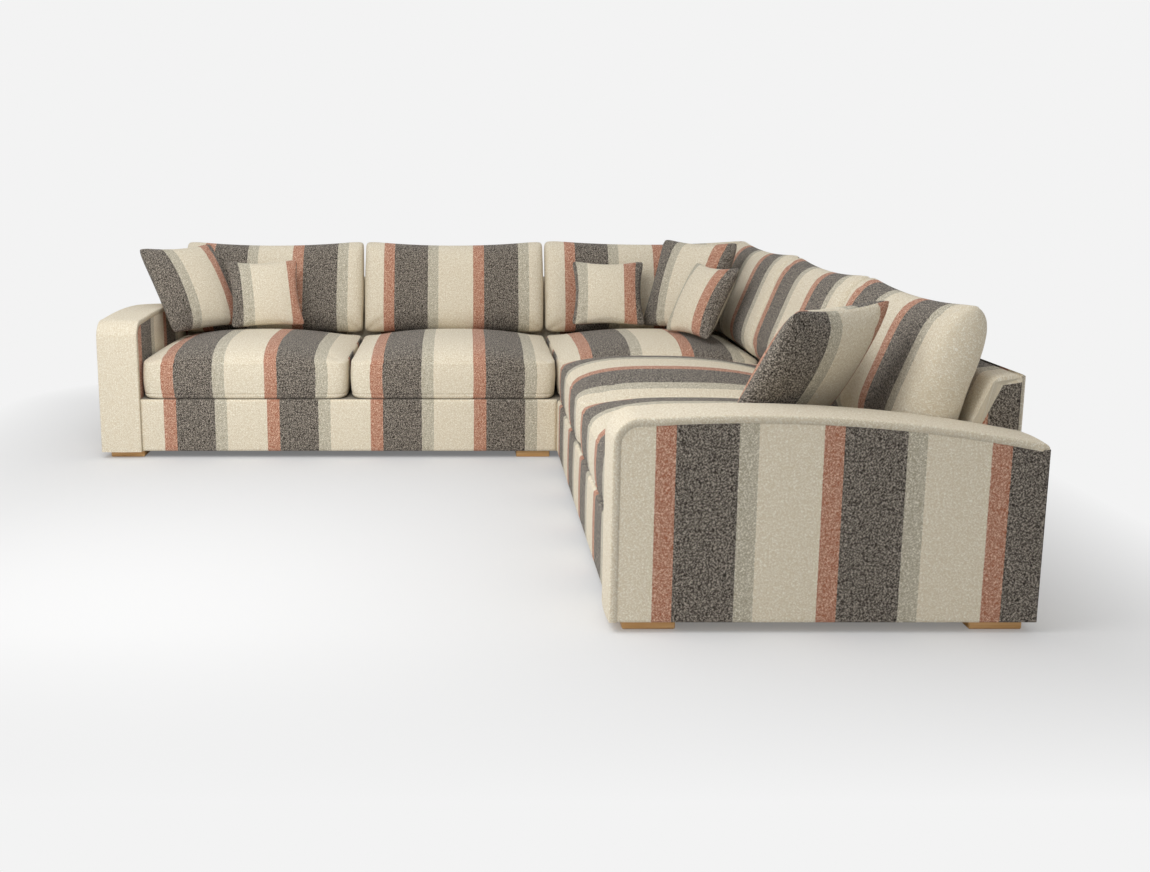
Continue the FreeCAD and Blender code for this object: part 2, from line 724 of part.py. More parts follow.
def outline_prism(corners, way):
    """A closed outline drawn out along a vector. Each corner is a point and, where the edge to the
    next corner is an arc, the point midway along it, or else None."""
    edges = []
    for index, (start, midway) in enumerate(corners):
        end = corners[(index + 1) % len(corners)][0]
        if midway is None:
            edges.append(Part.LineSegment(start, end).toShape())
        else:
            edges.append(Part.Arc(start, midway, end).toShape())
    return Part.Face(Part.Wire(edges)).extrude(way)


def pillow(width, height, thickness, seam, end, dip, sag, draw):
    """A stuffed pillow that stands on its lower seam, centred on x = 0, y = 0, facing -Y.

    dip and sag bow its upper and lower edges in, draw its sides. seam is the thickness left along the
    upper and lower edges, and end the thickness left at the two sides.
    """
    side = width / 2
    face = thickness / 2
    front = outline_prism(
        [
            (Vector(-side, -thickness, 0), Vector(0, -thickness, sag)),
            (Vector(side, -thickness, 0), Vector(side - draw, -thickness, height / 2)),
            (Vector(side, -thickness, height), Vector(0, -thickness, height - dip)),
            (Vector(-side, -thickness, height), Vector(draw - side, -thickness, height / 2)),
        ],
        Vector(0, 2 * thickness, 0),
    )
    profile = outline_prism(
        [
            (Vector(-side, -seam / 2, 0), Vector(-side, -face, height * BELLY)),
            (Vector(-side, -seam / 2, height), None),
            (Vector(-side, seam / 2, height), Vector(-side, face, height * BELLY)),
            (Vector(-side, seam / 2, 0), None),
        ],
        Vector(width, 0, 0),
    )
    full = face * FULLNESS
    run = width * RUN_IN
    rise = end / 2 + (full - end / 2) * RISE_SHARE
    at = side - run * RISE_AT
    plan = outline_prism(
        [
            (Vector(-side, -end / 2, 0), Vector(-at, -rise, 0)),
            (Vector(run - side, -full, 0), None),
            (Vector(side - run, -full, 0), Vector(at, -rise, 0)),
            (Vector(side, -end / 2, 0), None),
            (Vector(side, end / 2, 0), Vector(at, rise, 0)),
            (Vector(side - run, full, 0), None),
            (Vector(run - side, full, 0), Vector(-at, rise, 0)),
            (Vector(-side, end / 2, 0), None),
        ],
        Vector(0, 0, height),
    )
    return front.common(profile).common(plan)


def crowned_section(span, across):
    """The upright outline of a boxed seat cushion: flat below, straight border, rolled and crowned top.

    across turns a distance along the section and a height into a point.
    """
    lower = size("lower_seam")
    upper = size("upper_seam")
    crown = size("seat_crown")
    roll = size("seat_roll")
    rolled = upper + size("seat_roll_rise")
    near = (roll * RISE_AT, upper + size("seat_roll_rise") * RISE_SHARE)
    draw = size("seat_draw")
    return [
        (across(draw, 0), None),
        (across(span - draw, 0), None),
        (across(span, lower), None),
        (across(span, upper), across(span - near[0], near[1])),
        (across(span - roll, rolled), across(span / 2, crown)),
        (across(roll, rolled), across(near[0], near[1])),
        (across(0, upper), None),
        (across(0, lower), None),
    ]


def seat_cushion(width, length):
    """A boxed seat cushion with a crowned top. Its front left corner on the deck is the origin."""
    height = size("seat_crown") * 2
    draw = size("seat_draw")
    corner = size("seat_corner")
    profile = outline_prism(crowned_section(length, lambda y, z: Vector(0, y, z)), Vector(width, 0, 0))
    face = outline_prism(crowned_section(width, lambda x, z: Vector(x, 0, z)), Vector(0, length, 0))
    cut_in = draw + corner * (1 - math.sqrt(0.5))
    plan = outline_prism(
        [
            (Vector(corner, draw, 0), Vector(width / 2, 0, 0)),
            (Vector(width - corner, draw, 0), Vector(width - cut_in, cut_in, 0)),
            (Vector(width - draw, corner, 0), Vector(width, length / 2, 0)),
            (Vector(width - draw, length - corner, 0), Vector(width - cut_in, length - cut_in, 0)),
            (Vector(width - corner, length - draw, 0), Vector(width / 2, length, 0)),
            (Vector(corner, length - draw, 0), Vector(cut_in, length - cut_in, 0)),
            (Vector(draw, length - corner, 0), Vector(0, length / 2, 0)),
            (Vector(draw, corner, 0), Vector(cut_in, cut_in, 0)),
        ],
        Vector(0, 0, height),
    )
    return profile.common(face).common(plan)


SETTLING_STEPS = 30
SETTLED_SHARE = 0.3
DOWN = Vector(0, 0, -1)
REARWARD = Vector(0, 1, 0)


def settled(shape, place, moves):
    """The place of a cushion once it has come to rest.

    moves is a list of (way, neighbours). Along each way in turn the cushion travels until its nearest
    neighbour is one rest gap away, or until it no longer comes nearer.
    """
    gap = size("rest_gap")
    resting = place
    for way, neighbours in moves:
        around = Part.Compound([neighbour.Shape for neighbour in neighbours])
        before = math.inf
        for _ in range(SETTLING_STEPS):
            trial = shape.copy()
            trial.Placement = resting
            room = trial.distToShape(around)[0] - gap
            if room < gap * SETTLED_SHARE or room > before:
                break
            before = room
            resting = Placement(resting.Base + way * room, resting.Rotation)
    return resting


def soft(name, shape, place):
    """A loose cushion at its place."""
    cushion = doc.addObject("Part::Feature", name)
    cushion.Shape = shape
    cushion.Placement = place
    return cushion


def kept(*labels):
    """The kept pieces of those names."""
    return [node for node in nodes if node.Label in labels]


# Seat cushions: loose boxed cushions on the decks, two to a run and one in the corner.

doc.recompute()
inner = evaluate(INNER)
seat_start = evaluate(SEAT_START)
back_front = evaluate(BACK_FRONT)
gap = size("cushion_gap")
on_deck = size("base_top") + size("rest_gap")
bay = size("seat_width")
room_for_seat = back_front - inner - 2 * gap
run_seat = seat_cushion(bay - 2 * gap, room_for_seat)
for number, name in enumerate(("outer", "inner")):
    place = Placement(Vector(seat_start + bay * number + gap, inner, on_deck), Rotation())
    keep_pair(soft(f"SeatCushion{number}", run_seat, place), f"seat_cushion_{name}")
corner_place = Placement(Vector(inner + gap, inner + gap, on_deck), Rotation())
corner_seat = seat_cushion(room_for_seat, room_for_seat)
keep(soft("CornerSeat", corner_seat, corner_place), "corner_seat_cushion")


# Back cushions: loose pillows with peaked upper corners, which lean on the sloping back. The two in
# the corner are cut to a mitre, where they press on each other.

doc.recompute()


def back_cushion(width):
    """A back pillow of a width, upright and centred."""
    return pillow(
        width,
        size("back_cushion_height"),
        size("back_cushion_thickness"),
        size("back_cushion_seam"),
        size("back_cushion_end"),
        size("back_cushion_dip"),
        size("back_cushion_sag"),
        size("back_cushion_draw"),
    )


shoulder = Vector(0, evaluate(SHOULDER), evaluate(SHOULDER_LEVEL))
down_slope = (Vector(0, back_front, size("base_top")) - shoulder).normalize()
leaning = Rotation(Vector(1, 0, 0), -size("back_cushion_lean"))
start_level = on_deck + size("seat_crown") + size("back_cushion_thickness") / 2
start_front = back_front - size("back_cushion_thickness")


def back_place(shape, centre, seat, pad):
    """Where a back cushion comes to rest on a seat cushion and against a back pad."""
    start = Placement(Vector(centre, start_front, start_level), leaning)
    return settled(shape, start, [(DOWN, seat), (REARWARD, pad), (down_slope, seat)])


run_back_cushion = back_cushion(bay - 2 * gap)
rest = back_place(
    run_back_cushion, seat_start + bay / 2, kept("left_seat_cushion_outer"), kept("left_back_pad")
)
for number, name in enumerate(("outer", "inner")):
    place = Placement(rest.Base + Vector(bay * number, 0, 0), rest.Rotation)
    keep_pair(soft(f"BackCushion{number}", run_back_cushion, place), f"back_cushion_{name}")

corner_start = inner + gap
corner_end = evaluate(SHOULDER)
corner_cushion = back_cushion(corner_end - corner_start)
rest = back_place(
    corner_cushion,
    (corner_start + corner_end) / 2,
    kept("corner_seat_cushion"),
    kept("corner_back_pad_left"),
)
corner_cushion.Placement = rest
reach = 2 * size("depth") + 2 * bay
beyond_mitre = Part.makeBox(2 * reach, reach, 2 * reach, Vector(-reach, -reach, -reach))
beyond_mitre.rotate(Vector(0, 0, 0), Vector(0, 0, 1), MITRE_ANGLE)
beyond_mitre.translate(Vector(-gap / 2, gap / 2, 0))
corner_left = soft("CornerBackCushion", corner_cushion.cut(beyond_mitre), Placement())
keep(corner_left, "corner_back_cushion_left")
keep(mirrored(corner_left, "CornerBackCushionTwin"), "corner_back_cushion_right")


# Scatter cushions: pillows stood on the seat cushions and leant back, two at each end of the sofa
# and three in the corner.

doc.recompute()

# Where each one starts: how far along and how far back, as shares of a seat's width, then its turn
# from facing -Y and its lean, in degrees.
SCATTER_STARTS = {
    "end_large": (0.19, 0.6, 53, 31),
    "end_small": (0.52, 0.65, 18, 30),
    "corner_large": (0.67, 0.61, -49, 27),
    "corner_left": (0.32, 0.66, -4, 34),
    "corner_front": (0.69, 0.32, -68, 27),
}
BACKSTEP = 0.25


def scatter(kind):
    """A large or small scatter pillow, upright and centred."""
    side = size(f"{kind}_scatter_side")
    dip = size("scatter_dip")
    thickness = size(f"{kind}_scatter_thickness")
    return pillow(side, side, thickness, size("scatter_seam"), size("scatter_end"), dip, dip, dip)


def leant(name, shape, origin, seats, supports):
    """Where a scatter cushion comes to rest.

    It starts clear in front of its supports, drops to the seat, goes back to its supports and then
    slides down along its own face.
    """
    along, rearward, turn, lean = SCATTER_STARTS[name]
    facing = Rotation(Vector(0, 0, 1), turn)
    posed = facing * Rotation(Vector(1, 0, 0), -lean)
    back = facing.multVec(REARWARD)
    lift = on_deck + size("seat_crown") + 2 * size("scatter_dip")
    over = Vector(origin + along * bay, inner + rearward * bay, lift)
    start = Placement(over - back * bay * BACKSTEP, posed)
    moves = [(DOWN, seats), (back, supports), (posed.multVec(DOWN), seats + supports)]
    return settled(shape, start, moves)


large = scatter("large")
small = scatter("small")
end_seat = kept("left_seat_cushion_outer")
supports = kept("left_back_cushion_outer", "left_arm_band", "left_arm_inner_panel")
place = leant("end_large", large, seat_start, end_seat, supports)
keep_pair(soft("LargeEndCushion", large, place), "scatter_cushion_large")
doc.recompute()
supports = kept("left_back_cushion_outer", "left_scatter_cushion_large")
place = leant("end_small", small, seat_start, end_seat, supports)
keep_pair(soft("SmallEndCushion", small, place), "scatter_cushion_small")

corner_seat_top = kept("corner_seat_cushion")
supports = kept("corner_back_cushion_left", "corner_back_cushion_right")
for name, shape, label in (
    ("corner_large", large, "corner_scatter_cushion_large"),
    ("corner_left", small, "corner_scatter_cushion_left"),
    ("corner_front", small, "corner_scatter_cushion_front"),
):
    place = leant(name, shape, inner, corner_seat_top, supports)
    keep(soft("Cushion" + name.title().replace("_", ""), shape, place), label)
    doc.recompute()
    supports = supports + kept(label)


# Write each sub-part once everything is sound

doc.recompute()
for thing in doc.Objects:
    if "Invalid" in thing.State or "Error" in thing.State:
        raise RuntimeError(f"{thing.Name} ({thing.Label}) did not compute: {thing.State}")
for piece in nodes:
    if piece.Shape.isNull() or not piece.Shape.isValid() or not piece.Shape.Solids:
        raise RuntimeError(f"{piece.Label} is not a valid solid")

os.makedirs("parts", exist_ok=True)
for piece in nodes:
    piece.Shape.exportStep(f"parts/{piece.Label}.step")
print(len(nodes), "nodes,", sum(len(piece.Shape.Solids) for piece in nodes), "solids")
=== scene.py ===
import json
import math

import bpy
import numpy as np
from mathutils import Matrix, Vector


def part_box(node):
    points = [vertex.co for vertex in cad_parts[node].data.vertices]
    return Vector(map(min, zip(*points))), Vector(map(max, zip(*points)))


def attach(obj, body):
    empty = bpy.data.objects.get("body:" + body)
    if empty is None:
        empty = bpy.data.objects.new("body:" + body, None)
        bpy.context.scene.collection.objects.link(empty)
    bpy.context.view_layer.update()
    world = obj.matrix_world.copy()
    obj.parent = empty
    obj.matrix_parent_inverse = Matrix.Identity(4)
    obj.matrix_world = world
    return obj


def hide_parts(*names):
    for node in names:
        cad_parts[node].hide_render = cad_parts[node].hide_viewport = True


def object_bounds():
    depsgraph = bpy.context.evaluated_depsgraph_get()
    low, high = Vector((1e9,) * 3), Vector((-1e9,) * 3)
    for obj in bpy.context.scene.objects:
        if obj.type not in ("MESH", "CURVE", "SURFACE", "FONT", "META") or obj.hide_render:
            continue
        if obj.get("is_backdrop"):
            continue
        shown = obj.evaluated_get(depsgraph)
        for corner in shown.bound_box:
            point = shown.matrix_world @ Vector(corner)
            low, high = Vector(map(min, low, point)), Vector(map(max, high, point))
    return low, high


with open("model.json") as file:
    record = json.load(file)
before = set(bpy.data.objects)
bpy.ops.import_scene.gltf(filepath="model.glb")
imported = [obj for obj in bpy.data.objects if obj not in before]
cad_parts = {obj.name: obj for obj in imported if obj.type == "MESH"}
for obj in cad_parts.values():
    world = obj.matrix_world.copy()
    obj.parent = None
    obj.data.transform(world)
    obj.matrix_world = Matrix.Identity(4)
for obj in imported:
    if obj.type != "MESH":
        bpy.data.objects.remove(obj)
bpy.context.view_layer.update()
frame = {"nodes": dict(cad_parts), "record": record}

# A corner sofa: two runs of two seats and a shared corner seat, in a coarse striped cloth.
# Metres, +Z up. The left run faces -Y. The right run faces -X and is its mirror image in x = y.


# Stage
# The camera of the photograph, a flat pale floor in an even pale surround, and soft light from above
# and in front.

SHEET_WIDTH = 1150
SHEET_HEIGHT = 872
FOCAL_PIXELS = 1196.5
OPTICAL_CENTRE = (461.95, 369.4)
CAMERA_PLACE = (-0.0025, -4.2738, 1.1554)
CAMERA_PITCH = 0.1694
SENSOR_WIDTH = 36

camera = bpy.data.cameras.new("Camera")
camera.sensor_fit = "HORIZONTAL"
camera.sensor_width = SENSOR_WIDTH
camera.lens = FOCAL_PIXELS * SENSOR_WIDTH / SHEET_WIDTH
camera.shift_x = (SHEET_WIDTH / 2 - OPTICAL_CENTRE[0]) / SHEET_WIDTH
camera.shift_y = (OPTICAL_CENTRE[1] - SHEET_HEIGHT / 2) / SHEET_WIDTH
camera.clip_start = 0.05
camera.clip_end = 60
camera_object = bpy.data.objects.new("Camera", camera)
camera_object.location = CAMERA_PLACE
camera_object.rotation_euler = (math.pi / 2 - CAMERA_PITCH, 0, 0)
bpy.context.collection.objects.link(camera_object)
bpy.context.scene.camera = camera_object
bpy.context.scene.view_settings.view_transform = "Standard"


class Socket:
    """A shader value that takes part in sums as a number does, when it stands first."""

    def __init__(self, surface, socket):
        self.surface = surface
        self.socket = socket

    def maths(self, operation, *others):
        return self.surface.node("ShaderNodeMath", (self, *others), operation=operation).out()

    def __add__(self, other):
        return self.maths("ADD", other)

    def __sub__(self, other):
        return self.maths("SUBTRACT", other)

    def __mul__(self, other):
        return self.maths("MULTIPLY", other)

    def __truediv__(self, other):
        return self.maths("DIVIDE", other)


class Node:
    """One shader node of a surface."""

    def __init__(self, surface, node):
        self.surface = surface
        self.node = node

    def out(self, name=0):
        return Socket(self.surface, self.node.outputs[name])


class Surface:
    """A node material with one main shader."""

    def __init__(self, name, **constants):
        self.material = bpy.data.materials.new(name)
        self.material.use_nodes = True
        self.tree = self.material.node_tree
        self.shader = self.tree.nodes["Principled BSDF"]
        for socket, value in constants.items():
            self.shader.inputs[socket.replace("_", " ")].default_value = value

    def node(self, kind, inputs=(), **settings):
        """A node with its settings, and its inputs by place or by name, from numbers or sockets."""
        made = self.tree.nodes.new(kind)
        for setting, value in settings.items():
            setattr(made, setting, value)
        pairs = inputs.items() if isinstance(inputs, dict) else enumerate(inputs)
        for place, value in pairs:
            self.join(value, made.inputs[place])
        return Node(self, made)

    def join(self, value, target):
        """Puts a number or another node's output on an input."""
        if isinstance(value, Socket):
            self.tree.links.new(value.socket, target)
        else:
            target.default_value = value

    def set(self, name, value):
        """Puts a value on the main shader."""
        self.join(value, self.shader.inputs[name])

    def ramp(self, factor, stops, interpolation="LINEAR"):
        """A colour that changes with a factor. stops is a list of (place, colour)."""
        made = self.tree.nodes.new("ShaderNodeValToRGB")
        made.color_ramp.interpolation = interpolation
        elements = made.color_ramp.elements
        while len(elements) < len(stops):
            elements.new(1)
        for element, (place, colour) in zip(elements, stops):
            element.position = place
            element.color = (*colour, 1)
        self.join(factor, made.inputs[0])
        return Socket(self, made.outputs[0])

    def noise(self, vector, scale, detail=2, roughness=0.5):
        """Soft noise from 0 to 1 over a vector."""
        inputs = {"Vector": vector, "Scale": scale, "Detail": detail, "Roughness": roughness}
        return self.node("ShaderNodeTexNoise", inputs).out()

    def vector(self, *parts):
        """A vector from its parts."""
        return self.node("ShaderNodeCombineXYZ", parts).out()

    def mixed(self, factor, first, second):
        """A colour between two others."""
        made = self.node("ShaderNodeMix", data_type="RGBA")
        for name, value in (("Factor_Float", factor), ("A_Color", first), ("B_Color", second)):
            self.join(value, next(s for s in made.node.inputs if s.identifier == name))
        return Socket(self, next(s for s in made.node.outputs if s.identifier == "Result_Color"))

    def bump(self, height, distance):
        """Puts a relief of a depth in metres on the surface."""
        inputs = {"Height": height, "Distance": distance}
        self.set("Normal", self.node("ShaderNodeBump", inputs).out())


def linear(red, green, blue):
    """The scene's colour for a screen colour from 0 to 255."""
    share = np.array([red, green, blue]) / 255
    bright = ((share + 0.055) / 1.055) ** 2.4
    return tuple(np.where(share <= 0.04045, share / 12.92, bright))


def mesh_object(name, points, faces, cloth=None):
    """A smooth object. cloth gives the place on the flat cloth, one row for each point or for each
    corner of each quad, and becomes its UV.
    """
    mesh = bpy.data.meshes.new(name)
    mesh.from_pydata(points, [], [tuple(int(corner) for corner in face) for face in faces])
    mesh.polygons.foreach_set("use_smooth", np.ones(len(mesh.polygons), bool))
    if cloth is not None:
        corners = np.zeros(len(mesh.loops), int)
        mesh.loops.foreach_get("vertex_index", corners)
        layer = mesh.uv_layers.new(name="Cloth")
        spread = cloth[corners] if cloth.ndim == 2 else cloth
        layer.data.foreach_set("uv", spread.ravel())
    mesh.update()
    made = bpy.data.objects.new(name, mesh)
    bpy.context.collection.objects.link(made)
    return made


def grid_quads(index):
    """The quads of a grid of point numbers."""
    return np.stack([index[:-1, :-1], index[1:, :-1], index[1:, 1:], index[:-1, 1:]], -1).reshape(-1, 4)


# To the camera, the floor is part lit paper and part a glow, GLOW_SHARE under the sofa and all of it from
# BARE_TO outside its plan. The glow's tone is painted shade near the sofa, a little darker there than
# further out.
FLOOR_REACH = 12
PLAN_HALF = (1.44, 1.44, 0)
BARE_FROM = 0.0
BARE_TO = 0.8
PAPER_TONE = linear(224, 224, 224)
FLOOR_NEAR_SHADE = linear(237, 237, 237)
FLOOR_FAR = linear(243, 243, 243)
GLOW_SHARE = 0.2

corners = np.array([(-1, -1, 0), (1, -1, 0), (1, 1, 0), (-1, 1, 0)]) * FLOOR_REACH
floor = mesh_object("Floor", corners, [(0, 1, 2, 3)])
paper = Surface("Paper", Roughness=1.0, Specular_IOR_Level=0.0)
paper.set("Base Color", (*PAPER_TONE, 1))
spot = paper.node("ShaderNodeTexCoord").out("Object")
folded = paper.node("ShaderNodeVectorMath", [spot], operation="ABSOLUTE").out("Vector")
outside = paper.node("ShaderNodeVectorMath", [folded, PLAN_HALF], operation="SUBTRACT").out("Vector")
clear = paper.node("ShaderNodeVectorMath", [outside, (0, 0, 0)], operation="MAXIMUM").out("Vector")
away = paper.node("ShaderNodeVectorMath", [clear], operation="LENGTH").out("Value")
far = paper.node("ShaderNodeMapRange", {"Value": away, "From Min": BARE_FROM, "From Max": BARE_TO}).out()
# Painted shade: the glow's tone is a little darker near the sofa than further out.
tone = paper.mixed(far, (*FLOOR_NEAR_SHADE, 1), (*FLOOR_FAR, 1))
glow = paper.node("ShaderNodeEmission", [tone])
seen = paper.node("ShaderNodeLightPath").out("Is Camera Ray")
share = (far * (1 - GLOW_SHARE) + GLOW_SHARE) * seen
blended = paper.node("ShaderNodeMixShader", [share])
paper.tree.links.new(paper.shader.outputs[0], blended.node.inputs[1])
paper.tree.links.new(glow.node.outputs[0], blended.node.inputs[2])
paper.tree.links.new(blended.node.outputs[0], paper.tree.nodes["Material Output"].inputs[0])
floor.data.materials.append(paper.material)
floor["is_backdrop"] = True

# The surround lights the sofa in plain white, and the camera sees it in the far floor's tone.
SKY_STRENGTH = 0.6

world = bpy.data.worlds.new("Studio")
world.use_nodes = True
sky = world.node_tree.nodes["Background"]
sky.inputs["Color"].default_value = (1.0, 1.0, 1.0, 1)
sky.inputs["Strength"].default_value = SKY_STRENGTH
plain_sky = world.node_tree.nodes.new("ShaderNodeBackground")
plain_sky.inputs["Color"].default_value = (*FLOOR_FAR, 1)
chosen = world.node_tree.nodes.new("ShaderNodeMixShader")
path = world.node_tree.nodes.new("ShaderNodeLightPath")
world.node_tree.links.new(path.outputs["Is Camera Ray"], chosen.inputs[0])
world.node_tree.links.new(sky.outputs[0], chosen.inputs[1])
world.node_tree.links.new(plain_sky.outputs[0], chosen.inputs[2])
world.node_tree.links.new(chosen.outputs[0], world.node_tree.nodes["World Output"].inputs[0])
bpy.context.scene.world = world

# One large soft lamp above the front.
LAMP_PLACE = Vector((-1.1, -1.6, 2.35))
LAMP_TARGET = Vector((-0.1, 0.6, 0.4))
LAMP_SIDE = 2.0
LAMP_POWER = 60

light = bpy.data.lights.new("Overhead", "AREA")
light.shape = "SQUARE"
light.size = LAMP_SIDE
light.energy = LAMP_POWER
lamp = bpy.data.objects.new("Overhead", light)
lamp.location = LAMP_PLACE
lamp.rotation_euler = (LAMP_TARGET - LAMP_PLACE).to_track_quat("-Z", "Y").to_euler()
bpy.context.collection.objects.link(lamp)


# Cloths
# A heathered stripe of cream, rust, charcoal and gray, and the same weave in plain cream. Light
# slubs lie slantwise both ways over a darker ground, and show most on the charcoal.

REPEAT = 0.41
STRIPE_STARTS = (0.0, 0.385, 0.505, 0.88)
RUST_PLACE = STRIPE_STARTS[1] * REPEAT
GROUNDS = (linear(220, 206, 179), linear(164, 101, 74), linear(45, 39, 34), linear(170, 161, 139))
SLUBS = (linear(255, 249, 232), linear(240, 206, 181), linear(196, 185, 170), linear(243, 237, 220))
SLUB_LENGTH = 0.0105
SLUB_WIDTH = 0.0034
SLUB_RANGE = (0.53, 0.63)
SLUB_TINT = 0.85
HEATHER_SCALE = 55
HEATHER_TINT = 0.5
LEAST_TINT = 0.06
THREAD = 0.0024
RAGGED = 0.0016
RAGGED_SCALE = 260
WEAVE_DEPTH = 0.0009
SLUB_RELIEF = 0.7
THREAD_RELIEF = 0.25
HEATHER_RELIEF = 0.3


def woven(name, grounds, slubs, starts):
    """A woven cloth whose stripes start at shares of the repeat."""
    cloth = Surface(
        name,
        Roughness=0.92,
        Specular_IOR_Level=0.18,
        Sheen_Weight=0.12,
        Sheen_Roughness=0.55,
    )
    spread = cloth.node("ShaderNodeUVMap", uv_map="Cloth").out()
    apart = cloth.node("ShaderNodeSeparateXYZ", [spread])
    across = apart.out(0)
    down = apart.out(1)
    rising = across + down
    falling = across - down
    one_way = cloth.noise(cloth.vector(rising / SLUB_LENGTH, falling / SLUB_WIDTH, 0), 1, 2, 0.6)
    other_way = cloth.noise(cloth.vector(rising / SLUB_WIDTH, falling / SLUB_LENGTH, 7), 1, 2, 0.6)
    crossed = one_way.maths("MAXIMUM", other_way)
    slub_inputs = {"Value": crossed, "From Min": SLUB_RANGE[0], "From Max": SLUB_RANGE[1]}
    slub = cloth.node("ShaderNodeMapRange", slub_inputs).out()
    heather = cloth.noise(spread, HEATHER_SCALE, 3, 0.6)
    ragged = (cloth.noise(spread, RAGGED_SCALE, 1) - 0.5) * (2 * RAGGED)
    phase = ((across + ragged) / REPEAT).maths("FRACT")
    ground = cloth.ramp(phase, list(zip(starts, grounds)), "CONSTANT")
    light = cloth.ramp(phase, list(zip(starts, slubs)), "CONSTANT")
    tint = slub * SLUB_TINT + (heather - 0.5) * HEATHER_TINT + LEAST_TINT
    cloth.set("Base Color", cloth.mixed(tint, ground, light))
    warp = (across * (2 * math.pi / THREAD)).maths("SINE")
    weft = (down * (2 * math.pi / THREAD)).maths("SINE")
    cloth.bump(slub * SLUB_RELIEF + warp * weft * THREAD_RELIEF + heather * HEATHER_RELIEF, WEAVE_DEPTH)
    return cloth.material


striped = woven("StripedCloth", GROUNDS, SLUBS, STRIPE_STARTS)
plain = woven("PlainCloth", GROUNDS[:1], SLUBS[:1], STRIPE_STARTS[:1])


# Base panels and back covers
# Padded boards in the striped cloth: the fronts under the seats, the flat backs and the sides of
# the arms. Each has rounded edges and a slight swell.

ROUND = 0.011
SWELL = 0.003
PANEL_COLUMNS = 90
PANEL_ROWS = 40
CROWDING = 0.75
UP = np.array([0.0, 0.0, 1.0])


def crowded(count):
    """Numbers from 0 to 1 that lie closer together towards both ends."""
    even = np.linspace(-1, 1, count)
    return (np.sin(even * math.pi / 2) * CROWDING + even * (1 - CROWDING) + 1) / 2


def side_swap(points):
    """The mirror image of points in the plane x = y."""
    return points[:, [1, 0, 2]]


def place(name, points, faces, cloth, material, body, slot, nodes, right=False):
    """Makes a piece, for the right run as the mirror image, ties it to its body and hides its CAD nodes.
    """
    if right:
        points = side_swap(points)
        faces = [face[::-1] for face in faces]
        cloth = cloth if cloth.ndim == 2 else cloth[:, ::-1]
    made = mesh_object(name, points, faces, cloth)
    made.data.materials.append(material)
    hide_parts(*nodes)
    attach(made, body)
    return made


def rim(index):
    """The point numbers round the edge of a grid, from its first corner along its first side."""
    return np.concatenate([index[:-1, 0], index[-1, :-1], index[:0:-1, -1], index[0, :0:-1]])


def left_box(node, right):
    """A node's corners, taken back to the left run for a right one."""
    low, high = (np.array(corner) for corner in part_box(node))
    if right:
        low, high = low[[1, 0, 2]], high[[1, 0, 2]]
    return low, high


def panel(start, along, out, length, floor, top, depth, edge=ROUND, swell=SWELL):
    """A padded board. s runs along it, and its face stands at o in front of the start point's plane:
    o = edge (sqrt(1 - (1 - d / edge)^2) - 1) + swell sin(pi s) sin(pi t), d being the way to its edge.
    top gives the height of its upper edge at each distance along it.
    """
    s, t = np.meshgrid(crowded(PANEL_COLUMNS), crowded(PANEL_ROWS), indexing="ij")
    distance = s * length
    upper = top(distance)
    height = floor + (upper - floor) * t
    inset = np.minimum(
        np.minimum(distance, length - distance), np.minimum(height - floor, upper - height)
    )
    near = np.clip(1 - inset / edge, 0, 1)
    face = edge * (np.sqrt(1 - near**2) - 1) + swell * np.sin(math.pi * s) * np.sin(math.pi * t)
    back = np.full_like(face, -depth)
    start = np.asarray(start, float)
    sides = []
    for offset in (face, back):
        plane = start + distance[..., None] * np.asarray(along) + height[..., None] * UP
        sides.append((plane + offset[..., None] * np.asarray(out)).reshape(-1, 3))
    count = distance.size
    index = np.arange(count).reshape(distance.shape)
    ring = rim(index)
    following = np.roll(ring, -1)
    band = np.stack([ring, ring + count, following + count, following], -1)
    quads = np.concatenate([grid_quads(index)[:, ::-1], grid_quads(index) + count, band])
    flip = np.dot(np.cross(along, UP), out) < 0
    quads = quads if flip else quads[:, ::-1]
    return np.concatenate(sides), quads, np.tile(distance.ravel(), 2), np.tile(height.ravel(), 2)


def level(height):
    """A level upper edge."""
    return lambda distance: np.full_like(distance, height)


def board(name, node, along, out, first_rust, right=False, under=(0, 0), **shape):
    """A padded board in the space of a CAD panel. first_rust is the distance from its left edge, seen
    from outside, to the first rust stripe. under is how far it reaches in under its neighbours at its
    front and rear edges.
    """
    low, high = left_box(node, right)
    low[1] -= under[0]
    high[1] += under[1]
    along = np.asarray(along, float)
    out = np.asarray(out, float)
    length = float(np.abs((high - low) @ along))
    depth = float(np.abs((high - low) @ out))
    corner = np.where(along + out > 0, low, high)
    start = np.where(np.abs(along) > 0, corner, np.where(out > 0, high, low))
    start[2] = 0
    top = shape.pop("top", None) or level(high[2])
    points, quads, distance, height = panel(start, along, out, length, low[2], top, depth, **shape)
    from_left = length - distance if right else distance
    cloth = np.stack([from_left - first_rust + RUST_PLACE, height], -1)
    return place(name, points, quads, cloth, striped, "base", "striped_cloth", [node], right)


BASE_RUST = 0.227 * REPEAT
COVER_RUST = 0.2 * REPEAT
WEST, SOUTH = (-1, 0, 0), (0, -1, 0)
EAST, NORTH = (1, 0, 0), (0, 1, 0)
for side in ("left", "right"):
    right = side == "right"
    board(f"{side}_base_panel", f"{side}_front_panel", EAST, SOUTH, BASE_RUST, right)
    board(f"{side}_rear_cover", f"{side}_back_cover", WEST, NORTH, COVER_RUST, right)
board("corner_rear_cover_left", "corner_back_cover_left", WEST, NORTH, COVER_RUST)
board("corner_rear_cover_right", "corner_back_cover_right", WEST, NORTH, COVER_RUST, True)


# Arms
# A striped panel on each side, and a plain band that runs up the front, back over the top and
# down behind, where it is a little narrower. Its edges are soft and stand proud of the panels.

